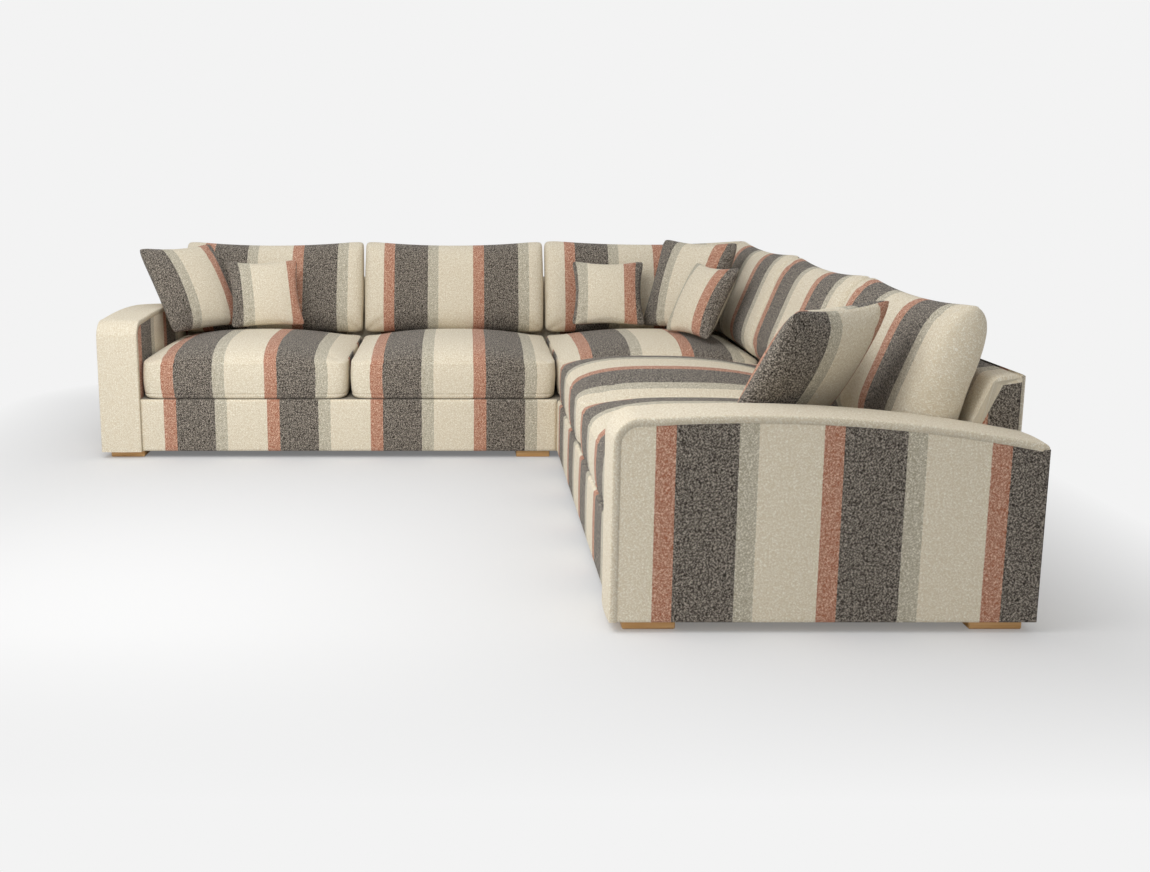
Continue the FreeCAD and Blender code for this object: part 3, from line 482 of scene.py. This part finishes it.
ARM_RUST = 0.217 * REPEAT
INNER_RUST = 0.02 * REPEAT
ARM_EDGE = 0.0025
ARM_SWELL = 0.0015
ARM_TOP_RADIUS = 3.7
ARM_CORNER_RADIUS = 0.05
ARM_FRONT_TOP = 0.536
ARM_REAR_TOP = 0.472
BAND_FRONT = 0.022
BAND_TOP = 0.015
BAND_EDGE = 0.005
BAND_PROUD = 0.001
BEHIND_SHARE = 0.95
PANEL_UNDER = 0.003
BAND_DEPTH = 0.02
BAND_CREST = 0.003
BAND_REAR = 0.008
BAND_REAR_RADIUS = 0.02
BAND_SIDES = 7
BAND_COLUMNS = 10
CREST_START = 0.11
CREST_STEP = 0.001
CREST_POINTS = 40
CORNER_STEPS = 14
LONG_RUN = 0.1
LONG_STEPS = 12


def round_corners(corners, radii, steps=8):
    """An open line through corners, each turned on an arc of its radius."""
    line = [corners[0]]
    for before, corner, after, radius in zip(corners, corners[1:], corners[2:], radii):
        back = (before - corner) / np.hypot(*(before - corner))
        on = (after - corner) / np.hypot(*(after - corner))
        half = math.acos(back @ on) / 2
        middle = (back + on) / np.hypot(*(back + on))
        centre = corner + middle * radius / math.sin(half)
        first = corner + back * radius / math.tan(half) - centre
        last = corner + on * radius / math.tan(half) - centre
        swing = math.pi - 2 * half
        share = np.linspace(0, 1, steps)[:, None]
        arc = np.sin((1 - share) * swing) * first + np.sin(share * swing) * last
        line.extend(centre + arc / math.sin(swing))
    line.append(corners[-1])
    return np.array(line)


def arm_top(y, face, rear):
    """Height of the side panel's upper edge: a corner arc, then the shallow top arc of radius R,
    z = cz + sqrt(R^2 - (y - cy)^2).
    """
    start = np.array([face + ARM_CORNER_RADIUS, ARM_FRONT_TOP])
    end = np.array([rear, ARM_REAR_TOP])
    chord = end - start
    half = np.hypot(*chord) / 2
    across = np.array([-chord[1], chord[0]]) / (2 * half)
    centre = (start + end) / 2 - across * math.sqrt(ARM_TOP_RADIUS**2 - half**2)
    shallow = centre[1] + np.sqrt(ARM_TOP_RADIUS**2 - (y - centre[0]) ** 2)
    into = np.clip(ARM_CORNER_RADIUS - (y - face), 0, ARM_CORNER_RADIUS)
    corner = ARM_FRONT_TOP - ARM_CORNER_RADIUS + np.sqrt(ARM_CORNER_RADIUS**2 - into**2)
    return np.where(y < start[0], corner, shallow)


def capped(index, loops, cloth):
    """Faces over a tube of loops, with a cap of its own points on each end so that its edge is crisp.
    Returns the faces, the points with the caps added, and their cloth.
    """
    closed = np.concatenate([index, index[:, :1]], 1)
    first = index.size + np.arange(index.shape[1])
    last = first + index.shape[1]
    faces = grid_quads(closed).tolist() + [first.tolist(), last[::-1].tolist()]
    points = np.concatenate([loops.reshape(-1, 3), loops[0], loops[-1]])
    return faces, points, np.concatenate([cloth.reshape(-1, 2), cloth[0], cloth[-1]])


def swept(line, section, narrowing, middle):
    """A closed section (x, o) carried along a line (y, z), o being the way out from the line's left
    side. narrowing draws the section in towards the middle, with one share for each point of the line.
    """
    way = np.gradient(line, axis=0)
    way /= np.hypot(*way.T)[:, None]
    out = np.stack([-way[:, 1], way[:, 0]], -1)
    across, offset = section.T
    spot = line[:, None] + out[:, None] * offset[:, None]
    drawn = middle + (across - middle) * narrowing[:, None]
    loops = np.concatenate([drawn[..., None], spot], -1)
    index = np.arange(len(line) * len(section)).reshape(len(line), -1)
    run = np.concatenate([[0], np.cumsum(np.hypot(*np.diff(line, axis=0).T))])
    girth = np.concatenate([[0], np.cumsum(np.hypot(*np.diff(section, axis=0).T))])
    cloth = np.stack(np.broadcast_arrays(girth, run[:, None]), -1)
    faces, points, cloth = capped(index, loops, cloth)
    return points, faces, cloth


band_low, band_high = left_box("left_arm_band", False)
panel_low, panel_high = left_box("left_arm_outer_panel", False)
crest_y = np.linspace(band_low[1] + CREST_START, band_high[1], CREST_POINTS)
crest = np.stack([crest_y, arm_top(crest_y, panel_low[1], panel_high[1]) + BAND_TOP], -1)
front_corners = np.array([(band_low[1], band_low[2]), (band_low[1], crest[0, 1] - CREST_STEP), crest[0]])
turned = round_corners(front_corners, [ARM_CORNER_RADIUS + BAND_FRONT], CORNER_STEPS)
rear_corners = np.array([crest[-3], crest[-1], (band_high[1], band_low[2])])
rear = round_corners(rear_corners, [BAND_REAR_RADIUS])
band_line = np.concatenate([turned[:-1], crest[:-3], rear])
runs = [
    np.linspace(first, last, LONG_STEPS if np.hypot(*(last - first)) > LONG_RUN else 2)[:-1]
    for first, last in zip(band_line, band_line[1:])
]
band_line = np.concatenate(runs + [band_line[-1:]])
swing = np.linspace(0, math.pi / 2, BAND_SIDES)
corner = np.stack([BAND_EDGE * (1 - np.cos(swing)), BAND_EDGE * (np.sin(swing) - 1)], -1)
arm_width = band_high[0] - band_low[0] + 2 * BAND_PROUD
mid = np.linspace(BAND_EDGE, arm_width - BAND_EDGE, BAND_COLUMNS)[1:-1]
flat = np.stack([mid, BAND_CREST * np.sin(math.pi * (mid - BAND_EDGE) / (arm_width - 2 * BAND_EDGE))], -1)
far_corner = np.stack([arm_width - corner[::-1, 0], corner[::-1, 1]], -1)
band_section = np.concatenate([[(0, -BAND_DEPTH)], corner, flat, far_corner, [(arm_width, -BAND_DEPTH)]])
band_section += [band_low[0] - BAND_PROUD, -BAND_CREST]
behind = (band_line[:, 1] < ARM_REAR_TOP) & (band_line[:, 0] > panel_high[1] - BAND_REAR_RADIUS)
band_share = np.where(behind, BEHIND_SHARE, 1.0)
band_middle = (band_low[0] + band_high[0]) / 2


def outer_top(distance):
    """The outer panel's upper edge, by the way from its rear end."""
    return arm_top(panel_high[1] + BAND_REAR - ARM_SWELL - distance, panel_low[1], panel_high[1])


def inner_top(distance):
    """The inner panel's upper edge, by the way from its front end."""
    return arm_top(panel_low[1] + distance, panel_low[1], panel_high[1])


for side in ("left", "right"):
    right = side == "right"
    band = swept(band_line, band_section, band_share, band_middle)
    place(f"{side}_arm_soft_band", *band, plain, "base", "plain_cloth", [f"{side}_arm_band"], right)
    board(
        f"{side}_arm_outside",
        f"{side}_arm_outer_panel",
        SOUTH,
        WEST,
        ARM_RUST,
        right,
        top=outer_top,
        edge=ARM_EDGE,
        swell=ARM_SWELL,
        under=(PANEL_UNDER, BAND_REAR - ARM_SWELL),
    )
    board(
        f"{side}_arm_inside",
        f"{side}_arm_inner_panel",
        NORTH,
        EAST,
        INNER_RUST,
        right,
        top=inner_top,
        edge=ARM_EDGE,
        swell=0.0,
    )


# Backs
# A padded cover slopes up in front of each back and turns over its top. Where the back shows above
# an arm, a striped end panel closes it, with its stripes in line with the arm's.

PAD_DEPTH = 0.02
SHOULDER_RADIUS = 0.03
REAR_TOP_RADIUS = 0.012
PAD_COLUMNS = 40
PAD_TOP_DEPTH = 0.068
PAD_TOP_FALL = 0.008
BACK_RUST = 0.19 * REPEAT
END_RUST = 0.086
END_ABOVE_ARM = 0.001
END_EDGE = 0.003

pad_low, pad_high = left_box("left_back_pad", False)
shoulder = np.array([pad_high[1] - PAD_TOP_DEPTH, pad_high[2] - PAD_TOP_FALL])
foot = pad_low[1:]
rear_top = pad_high[1:]
pad_corners = np.array([foot, shoulder, rear_top, rear_top - (0, PAD_DEPTH)])
pad_face = round_corners(pad_corners, [SHOULDER_RADIUS, REAR_TOP_RADIUS])
pad_inside = np.array([shoulder + (PAD_DEPTH, -PAD_DEPTH), foot + (PAD_DEPTH, 0)])
pad_loop = np.concatenate([pad_face, pad_inside])


def extruded(loop, start, end):
    """A closed loop (y, z) drawn out along X from start to end, either one number or one per point."""
    share = crowded(PAD_COLUMNS)[:, None]
    across = start + (np.broadcast_to(end, len(loop)) - start) * share
    spot = np.broadcast_to(loop, (PAD_COLUMNS,) + loop.shape)
    loops = np.concatenate([across[..., None], spot], -1)
    index = np.arange(across.size).reshape(PAD_COLUMNS, -1)
    run = np.concatenate([[0], np.cumsum(np.hypot(*np.diff(loop, axis=0).T))])
    cloth = np.stack(np.broadcast_arrays(across, run), -1)
    faces, points, cloth = capped(index, loops, cloth)
    return points, faces, cloth


def from_left(cloth, start, end, first_rust, right):
    """Cloth coordinates counted from the left edge as it is seen from the front."""
    distance = end - cloth[:, 0] if right else cloth[:, 0] - start
    return np.stack([distance - first_rust + RUST_PLACE, cloth[:, 1]], -1)


def back_padding(name, node, start, stop, end, right):
    """One back's padded cover, from start to stop. Its far end lies at end."""
    points, faces, cloth = extruded(pad_loop, start, end)
    cloth = from_left(cloth, start, stop, BACK_RUST, right)
    place(name, points, faces, cloth, striped, "base", "striped_cloth", [node], right)


def end_top(distance):
    """The end panel's upper edge: it follows the cover's slope, by the way from its rear end."""
    climb = slope * (end_high[1] - end_low[1] - distance)
    return np.minimum(end_low[2] + END_ABOVE_ARM + climb, end_high[2])


corner_low, corner_high = left_box("corner_back_pad_left", False)
end_low, end_high = left_box("left_back_end_panel", False)
under_shoulder = shoulder + (PAD_DEPTH, -PAD_DEPTH) - end_low[1:]
slope = under_shoulder[1] / under_shoulder[0]
for side in ("left", "right"):
    right = side == "right"
    run_name, run_node = f"{side}_back_padding", f"{side}_back_pad"
    back_padding(run_name, run_node, pad_low[0], pad_high[0], pad_high[0], right)
    mitre_name, mitre_node = f"corner_back_padding_{side}", f"corner_back_pad_{side}"
    back_padding(mitre_name, mitre_node, corner_low[0], corner_high[0], pad_loop[:, 0], right)
    board(
        f"{side}_back_end",
        f"{side}_back_end_panel",
        SOUTH,
        WEST,
        END_RUST,
        right,
        top=end_top,
        edge=END_EDGE,
        swell=0.0,
    )


# Seat cushions
# Boxed foam cushions: a crowned top that rolls down to a seam, an upright border, and a second seam
# just above the base.

SEAT_COLUMNS = 64
SEAT_UPPER = 0.148
SEAT_LOWER = 0.02
SEAT_CROWN = 0.072
SEAT_PEAK = 0.29
CROWN_FRONT = (2.6, 0.55)
CROWN_REAR = 2.8
CROWN_SIDES = (2.5, 0.75)
SEAT_CORNERS = 16
SEAT_SPREAD = 0.0015
SEAT_RUST = 0.20 * REPEAT
SEAM_DEPTH = 0.0035
SEAM_HALF = 0.003
BORDER_SWELL = 0.004
UNDER_RADIUS = 0.018
SEAM_REACH = 3
SEAM_STEPS = 7
BORDER_STEPS = 8
FOOT_STEPS = 9
FOOT_FROM = 0.1
PUCKER = 0.0012
PUCKER_REACH = 0.03
PUCKER_START = 0.004
PUCKER_PITCH = 0.047
PUCKER_DRIFT = 0.07


def squircle(a, b, power):
    """Draws a square from -1 to 1 in to round corners: each point moves towards the centre by
    max(|a|, |b|) / (|a|^p + |b|^p)^(1/p).
    """
    reach = np.maximum(abs(a), abs(b))
    norm = (abs(a) ** power + abs(b) ** power) ** (1 / power)
    share = np.divide(reach, norm, out=np.ones_like(norm), where=norm > 0)
    return a * share, b * share


def border_profile():
    """How far in and how high the border runs, from the upper seam down to the underside: each seam
    dips by SEAM_DEPTH exp(-(z / SEAM_HALF)^2), and the foot turns in on a quarter circle.
    """
    seam = SEAM_HALF * np.linspace(0, SEAM_REACH, SEAM_STEPS)
    clear = 2 * SEAM_REACH * SEAM_HALF
    between = np.linspace(SEAT_UPPER - clear, SEAT_LOWER + clear, BORDER_STEPS)
    upright = np.concatenate([SEAT_UPPER - seam, between, SEAT_LOWER + seam[::-1]])
    share = (upright - SEAT_LOWER) / (SEAT_UPPER - SEAT_LOWER)
    groove = sum(np.exp(-(((upright - height) / SEAM_HALF) ** 2)) for height in (SEAT_UPPER, SEAT_LOWER))
    inset = SEAM_DEPTH * groove - BORDER_SWELL * np.sin(math.pi * share) + BORDER_SWELL
    turn = np.linspace(FOOT_FROM, math.pi / 2, FOOT_STEPS)
    foot = SEAT_LOWER * (1 - np.sin(turn))
    under = BORDER_SWELL + UNDER_RADIUS * (1 - np.cos(turn))
    return np.concatenate([inset, under]), np.concatenate([upright, foot])


def seat_form(low, high):
    """Points, faces and cloth of a boxed cushion in the space from low to high. Its top rises across
    by (1 - |a|^p)^q, p and q being CROWN_SIDES. n is 0 at the peak and 1 at the front and rear edges:
    the top rises by (1 - n^p)^q in front of the peak, with CROWN_FRONT, and falls by n^CROWN_REAR
    behind it.
    """
    half = (high - low) / 2
    centre = (low + high) / 2
    span = 2 * crowded(SEAT_COLUMNS) - 1
    a, b = np.meshgrid(span, span, indexing="ij")
    round_a, round_b = squircle(a, b, SEAT_CORNERS)
    rearward = (1 + b) * half[1]
    n = np.where(
        rearward < SEAT_PEAK,
        (SEAT_PEAK - rearward) / SEAT_PEAK,
        (rearward - SEAT_PEAK) / (2 * half[1] - SEAT_PEAK),
    )
    n = np.clip(n, 0, 1)
    rising = (1 - n ** CROWN_FRONT[0]) ** CROWN_FRONT[1]
    lengthwise = np.where(rearward < SEAT_PEAK, rising, 1 - n**CROWN_REAR)
    across = (1 - np.minimum(abs(a), 1) ** CROWN_SIDES[0]) ** CROWN_SIDES[1]
    inside = (1 - np.maximum(abs(a), abs(b))) * half[0]
    along = a * half[0] + b * half[1]
    pucker = np.sin(2 * math.pi * along / PUCKER_PITCH + 2 * np.sin(along / PUCKER_DRIFT))
    top = SEAT_UPPER + SEAT_CROWN * lengthwise * across
    top += PUCKER * pucker * np.exp(-inside / PUCKER_REACH) * np.minimum(inside / PUCKER_START, 1)
    index = np.arange(a.size).reshape(a.shape)
    ring = np.append(rim(index), 0)
    inset, level_at = border_profile()
    rounded = np.stack([round_a, round_b], -1).reshape(-1, 2)
    upper = np.column_stack([rounded * (half[:2] - inset[0]), top.ravel()])
    under = np.column_stack([rounded * (half[:2] - inset[-1]), np.zeros(a.size)])
    edge = rounded[ring]
    sides = [
        np.column_stack([edge * (half[:2] - drawn), np.full(len(ring), z)])
        for drawn, z in zip(inset, level_at)
    ]
    around = np.concatenate([[0], np.cumsum(np.hypot(*np.diff(edge * half[:2], axis=0).T))])
    front = around[:SEAT_COLUMNS].max()
    around += half[0] - front / 2
    around[3 * (SEAT_COLUMNS - 1) + 1 :] -= around[-1] - around[0]
    middle = SEAT_COLUMNS // 2
    climbed = np.cumsum(np.hypot(np.gradient(rearward[middle]), np.gradient(top[middle])))
    cloth = [
        np.stack([(1 + round_a) * half[0], np.interp(round_b, span, climbed)], -1).reshape(-1, 2),
        *(np.column_stack([around, np.full(len(ring), z - SEAT_UPPER)]) for z in level_at),
        under[:, :2] + half[:2],
    ]
    points = np.concatenate([upper, *sides, under]) + [centre[0], centre[1], low[2]]
    strip = np.arange(len(level_at) * len(ring)).reshape(len(level_at), -1) + len(upper)
    below = index + len(upper) + strip.size
    faces = np.concatenate([grid_quads(index), grid_quads(strip), grid_quads(below)[:, ::-1]])
    return points, faces, np.concatenate(cloth)


def cover(node, points, faces, cloth, right):
    """Makes one loose cushion's cover and ties it to its own body."""
    name, body = f"{node}_cover", f"{node}_body"
    made = place(name, points, faces, cloth, striped, body, "cushion_cloth", [node], right)
    return made


def seat_piece(node, right):
    """One seat cushion in the place of its CAD solid."""
    low, high = left_box(node, right)
    low[0] -= SEAT_SPREAD
    high[0] += SEAT_SPREAD
    points, faces, cloth = seat_form(low, high)
    cloth = from_left(cloth, 0, high[0] - low[0], SEAT_RUST, right)
    cover(node, points, faces, cloth, right)


for side in ("left", "right"):
    for which in ("outer", "inner"):
        seat_piece(f"{side}_seat_cushion_{which}", side == "right")
seat_piece("corner_seat_cushion", False)


# Back cushions
# Full pillows that lean back, with raised upper corners and a hollow upper edge. The two in the
# corner press on each other along a mitre.

BACK_COLUMNS = 72
BACK_ROWS = 48
BACK_LEAN = 0.33
BACK_THICKNESS = 0.165
BACK_HEIGHT = 0.43
BACK_TAPER = 0.25
BACK_DIP = 0.022
BACK_SAG = 0.008
BACK_ENDS = (22, 4.5)
BACK_SIDES = (0.42, 0.55)
BACK_CORNERS = 22
BACK_CAP = 0.002
MITRE_GAP = 0.002
BACK_SPREAD = 0.0006


def pillow(width, height, thickness, dip, sag, draw, ends, sides, corners, taper, columns, rows):
    """A closed pillow, centred across and standing on its lower edge, facing -Y. Its half thickness is
    T / 2 (1 - |a|^ends) ^ sides (1 - |b|^ends) ^ sides over a and b from -1 to 1, ends and sides being
    one number for the two sides and one for the upper and lower edges. dip hollows its upper edge, sag
    lifts the middle of its lower one, draw draws its sides in and taper thins its top. Its cloth is
    counted from the middle, along the surface, on each of its two faces.
    """
    span_a = 2 * crowded(columns) - 1
    span_b = 2 * crowded(rows) - 1
    a, b = np.meshgrid(span_a, span_b, indexing="ij")
    round_a, round_b = squircle(a, b, corners)
    up = (1 + round_b) / 2
    x = width / 2 * round_a - draw * np.sign(a) * (1 - b**2) * abs(a) ** 3
    z = height * up - dip * (1 - a**2) * up**3 + sag * (1 - a**2) * (1 - up) ** 3
    full_a = (1 - np.minimum(abs(a), 1) ** ends[0]) ** sides[0]
    full_b = (1 - np.minimum(abs(b), 1) ** ends[1]) ** sides[1]
    half = thickness / 2 * full_a * full_b * (1 - taper * up)
    index = np.arange(a.size).reshape(a.shape)
    rear_index = index.copy()
    inner = (columns - 2) * (rows - 2)
    rear_index[1:-1, 1:-1] = a.size + np.arange(inner).reshape(columns - 2, -1)
    front = np.stack([x, -half, z], -1).reshape(-1, 3)
    rear = np.stack([x, half, z], -1)[1:-1, 1:-1].reshape(-1, 3)
    middle = (columns // 2, rows // 2)
    run_a = np.cumsum(np.hypot(np.gradient(x[:, middle[1]]), np.gradient(half[:, middle[1]])))
    run_b = np.cumsum(np.hypot(np.gradient(z[middle[0]]), np.gradient(half[middle[0]])))
    run_a -= (run_a[0] + run_a[-1]) / 2
    spread = np.stack([np.interp(round_a, span_a, run_a), np.interp(round_b, span_b, run_b)], -1)
    spread = spread.reshape(-1, 2)
    quads = grid_quads(index)
    faces = np.concatenate([quads, rear_index.ravel()[quads][:, ::-1]])
    cloth = np.concatenate([spread[quads], (spread * (-1, 1))[quads][:, ::-1]])
    return np.concatenate([front, rear]), faces, cloth


def laid(cloth, width, start, right):
    """Cloth counted from the middle, moved so that its pattern has start at the left edge."""
    return cloth * (-1 if right else 1, 1) + (start + width / 2, 0)


def leaned(points, lean):
    """Points turned back about X by lean radians."""
    x, y, z = points.T
    rearward = y * math.cos(lean) + z * math.sin(lean)
    return np.stack([x, rearward, z * math.cos(lean) - y * math.sin(lean)], -1)


def fitted(points, low, high):
    """Points moved and stretched a little to fill the space from low to high."""
    own_low, own_high = points.min(0), points.max(0)
    return low + (points - own_low) * (high - low) / (own_high - own_low)


FILLING_FRAMES = 14
FILLING_PRESSURE = 1.5
CLOTH_SPARE = -0.012
CLOTH_BENDING = 0.4


def filled(pieces, cap):
    """Lets the cloth of several closed pieces settle over its filling, with a little cloth to spare.
    A point that would move by d moves by d cap / (cap + d), so none moves further than cap.
    """
    scene = bpy.context.scene
    for piece in pieces:
        filling = piece.modifiers.new("Filling", "CLOTH")
        filling.settings.use_pressure = True
        filling.settings.uniform_pressure_force = FILLING_PRESSURE
        filling.settings.shrink_min = CLOTH_SPARE
        filling.settings.effector_weights.gravity = 0
        filling.settings.bending_stiffness = CLOTH_BENDING
        filling.point_cache.frame_start = 1
        filling.point_cache.frame_end = FILLING_FRAMES
    for number in range(1, FILLING_FRAMES + 1):
        scene.frame_set(number)
    ready = bpy.context.evaluated_depsgraph_get()
    for piece in pieces:
        before = np.zeros(3 * len(piece.data.vertices))
        after = before.copy()
        piece.data.vertices.foreach_get("co", before)
        piece.evaluated_get(ready).data.vertices.foreach_get("co", after)
        moved = (after - before).reshape(-1, 3)
        far = np.linalg.norm(moved, axis=1, keepdims=True)
        moved *= cap / (cap + far)
        piece.modifiers.remove(piece.modifiers["Filling"])
        piece.data.vertices.foreach_set("co", before + moved.ravel())
        piece.data.update()
    scene.frame_set(1)


def back_piece(node, right, mitred=False):
    """One back cushion in the place of its CAD solid."""
    low, high = left_box(node, right)
    low[0] -= BACK_SPREAD
    high[0] += 0 if mitred else BACK_SPREAD
    width = high[0] - low[0]
    points, faces, cloth = pillow(
        width,
        BACK_HEIGHT,
        BACK_THICKNESS,
        BACK_DIP,
        BACK_SAG,
        0.0,
        BACK_ENDS,
        BACK_SIDES,
        BACK_CORNERS,
        BACK_TAPER,
        BACK_COLUMNS,
        BACK_ROWS,
    )
    points = fitted(leaned(points, BACK_LEAN), low, high)
    if mitred:
        points[:, 0] = np.minimum(points[:, 0], points[:, 1] - MITRE_GAP)
    start = RUST_PLACE - BACK_RUST
    if mitred and right:
        start -= width - 2 * REPEAT
    return cover(node, points, faces, laid(cloth, width, start, right), right)


run_backs = [
    back_piece(f"{side}_back_cushion_{which}", side == "right")
    for side in ("left", "right")
    for which in ("outer", "inner")
]
for side in ("left", "right"):
    back_piece(f"corner_back_cushion_{side}", side == "right", True)
filled(run_backs, BACK_CAP)


# Scatter cushions
# Soft square pillows with thin edges and drawn-out corners, stood on the seats and leant back. Each
# has its turn from facing -Y and its lean, in degrees, and the cloth's place at its left edge, as a
# share of the repeat.

LARGE_SIDE = 0.415
LARGE_THICKNESS = 0.13
SMALL_SIDE = 0.328
SMALL_THICKNESS = 0.1
SCATTER_DIP = 0.02
SCATTER_SAG = 0.012
SCATTER_DRAW = 0.018
SCATTER_ENDS = (2.2, 2.2)
SCATTER_SIDES = (0.52, 0.52)
SCATTER_CORNERS = 11
SCATTER_ROWS = 48
SCATTER_CAP = 0.004
LARGE = (LARGE_SIDE, LARGE_THICKNESS)
SMALL = (SMALL_SIDE, SMALL_THICKNESS)
SCATTERED = (
    ("left_scatter_cushion_large", LARGE, 53, 31, 0.625),
    ("right_scatter_cushion_large", LARGE, 53, 31, 0.545),
    ("left_scatter_cushion_small", SMALL, 18, 30, 0.74),
    ("right_scatter_cushion_small", SMALL, 18, 30, 0.74),
    ("corner_scatter_cushion_large", LARGE, -49, 20, 0.625),
    ("corner_scatter_cushion_left", SMALL, -4, 34, 0.82),
    ("corner_scatter_cushion_front", SMALL, -68, 27, 0.845),
)


def turned_about_z(points, angle):
    """Points turned about Z."""
    x, y, z = points.T
    across = x * math.cos(angle) - y * math.sin(angle)
    return np.stack([across, x * math.sin(angle) + y * math.cos(angle), z], -1)


scatters = []
for node, (size, thickness), turn, lean, phase in SCATTERED:
    right = node.startswith("right")
    points, faces, cloth = pillow(
        size,
        size,
        thickness,
        SCATTER_DIP,
        SCATTER_SAG,
        SCATTER_DRAW,
        SCATTER_ENDS,
        SCATTER_SIDES,
        SCATTER_CORNERS,
        0.0,
        SCATTER_ROWS,
        SCATTER_ROWS,
    )
    low, high = left_box(node, right)
    points = turned_about_z(leaned(points, math.radians(lean)), math.radians(turn))
    points += (low + high - points.min(0) - points.max(0)) / 2
    cloth = laid(cloth, size, phase * REPEAT, right)
    scatters.append(cover(node, points, faces, cloth, right))
filled(scatters, SCATTER_CAP)


# Oak, timber, steel and hidden cloths
# The feet are oak with a fine grain. What the covers hide keeps its CAD form with a plain finish.

GRAIN_ALONG = 6
PORES_ALONG = 60
PORES_ACROSS = 900
GRAIN_TONES = (0.35, 0.7)
PORE_RELIEF = 0.6
WOOD_DEPTH = 0.0004
MOTTLE_SCALE = 300
MOTTLE_TONES = (0.3, 0.7)
MOTTLE_SHADE = 0.8
MOTTLE_DEPTH = 0.0003


def timber(name, early, late, grain, rough):
    """Wood with its grain along X, from noise drawn out along the grain."""
    wood = Surface(name, Roughness=rough)
    apart = wood.node("ShaderNodeSeparateXYZ", [wood.node("ShaderNodeTexCoord").out("Object")])
    x, y, z = (apart.out(axis) for axis in range(3))
    lines = wood.noise(wood.vector(x * GRAIN_ALONG, y * grain, z * grain), 1, 4, 0.6)
    pores = wood.noise(wood.vector(x * PORES_ALONG, y * PORES_ACROSS, z * PORES_ACROSS), 1, 2, 0.5)
    wood.set("Base Color", wood.ramp(lines, list(zip(GRAIN_TONES, (early, late)))))
    wood.bump(pores * PORE_RELIEF + lines * (1 - PORE_RELIEF), WOOD_DEPTH)
    return wood.material


def finish_of(name, colour, rough, metal=0.0):
    """A plain finish with a fine mottle."""
    made = Surface(name, Roughness=rough, Metallic=metal)
    mottle = made.noise(made.node("ShaderNodeTexCoord").out("Object"), MOTTLE_SCALE, 3, 0.6)
    darker = tuple(MOTTLE_SHADE * part for part in colour)
    made.set("Base Color", made.ramp(mottle, list(zip(MOTTLE_TONES, (darker, colour)))))
    made.bump(mottle, MOTTLE_DEPTH)
    return made.material


FINISHES = {
    "oak": timber("Oak", linear(208, 158, 98), linear(232, 188, 130), 90, 0.45),
    "frame_timber": timber("FrameTimber", linear(196, 168, 122), linear(214, 190, 146), 60, 0.7),
    "steel": finish_of("Steel", linear(190, 190, 190), 0.35, 1.0),
    "dust_cloth": finish_of("DustCloth", linear(52, 52, 52), 0.95),
    "deck_cloth": finish_of("DeckCloth", linear(150, 143, 130), 0.95),
    "webbing": finish_of("Webbing", linear(120, 112, 98), 0.9),
}
slot_of = {part["node"]: part["material_slot"] for part in frame["record"]["subparts"]}
for node, shown in frame["nodes"].items():
    if slot_of[node] in FINISHES:
        for slot in shown.material_slots:
            slot.material = FINISHES[slot_of[node]]


low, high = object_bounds()
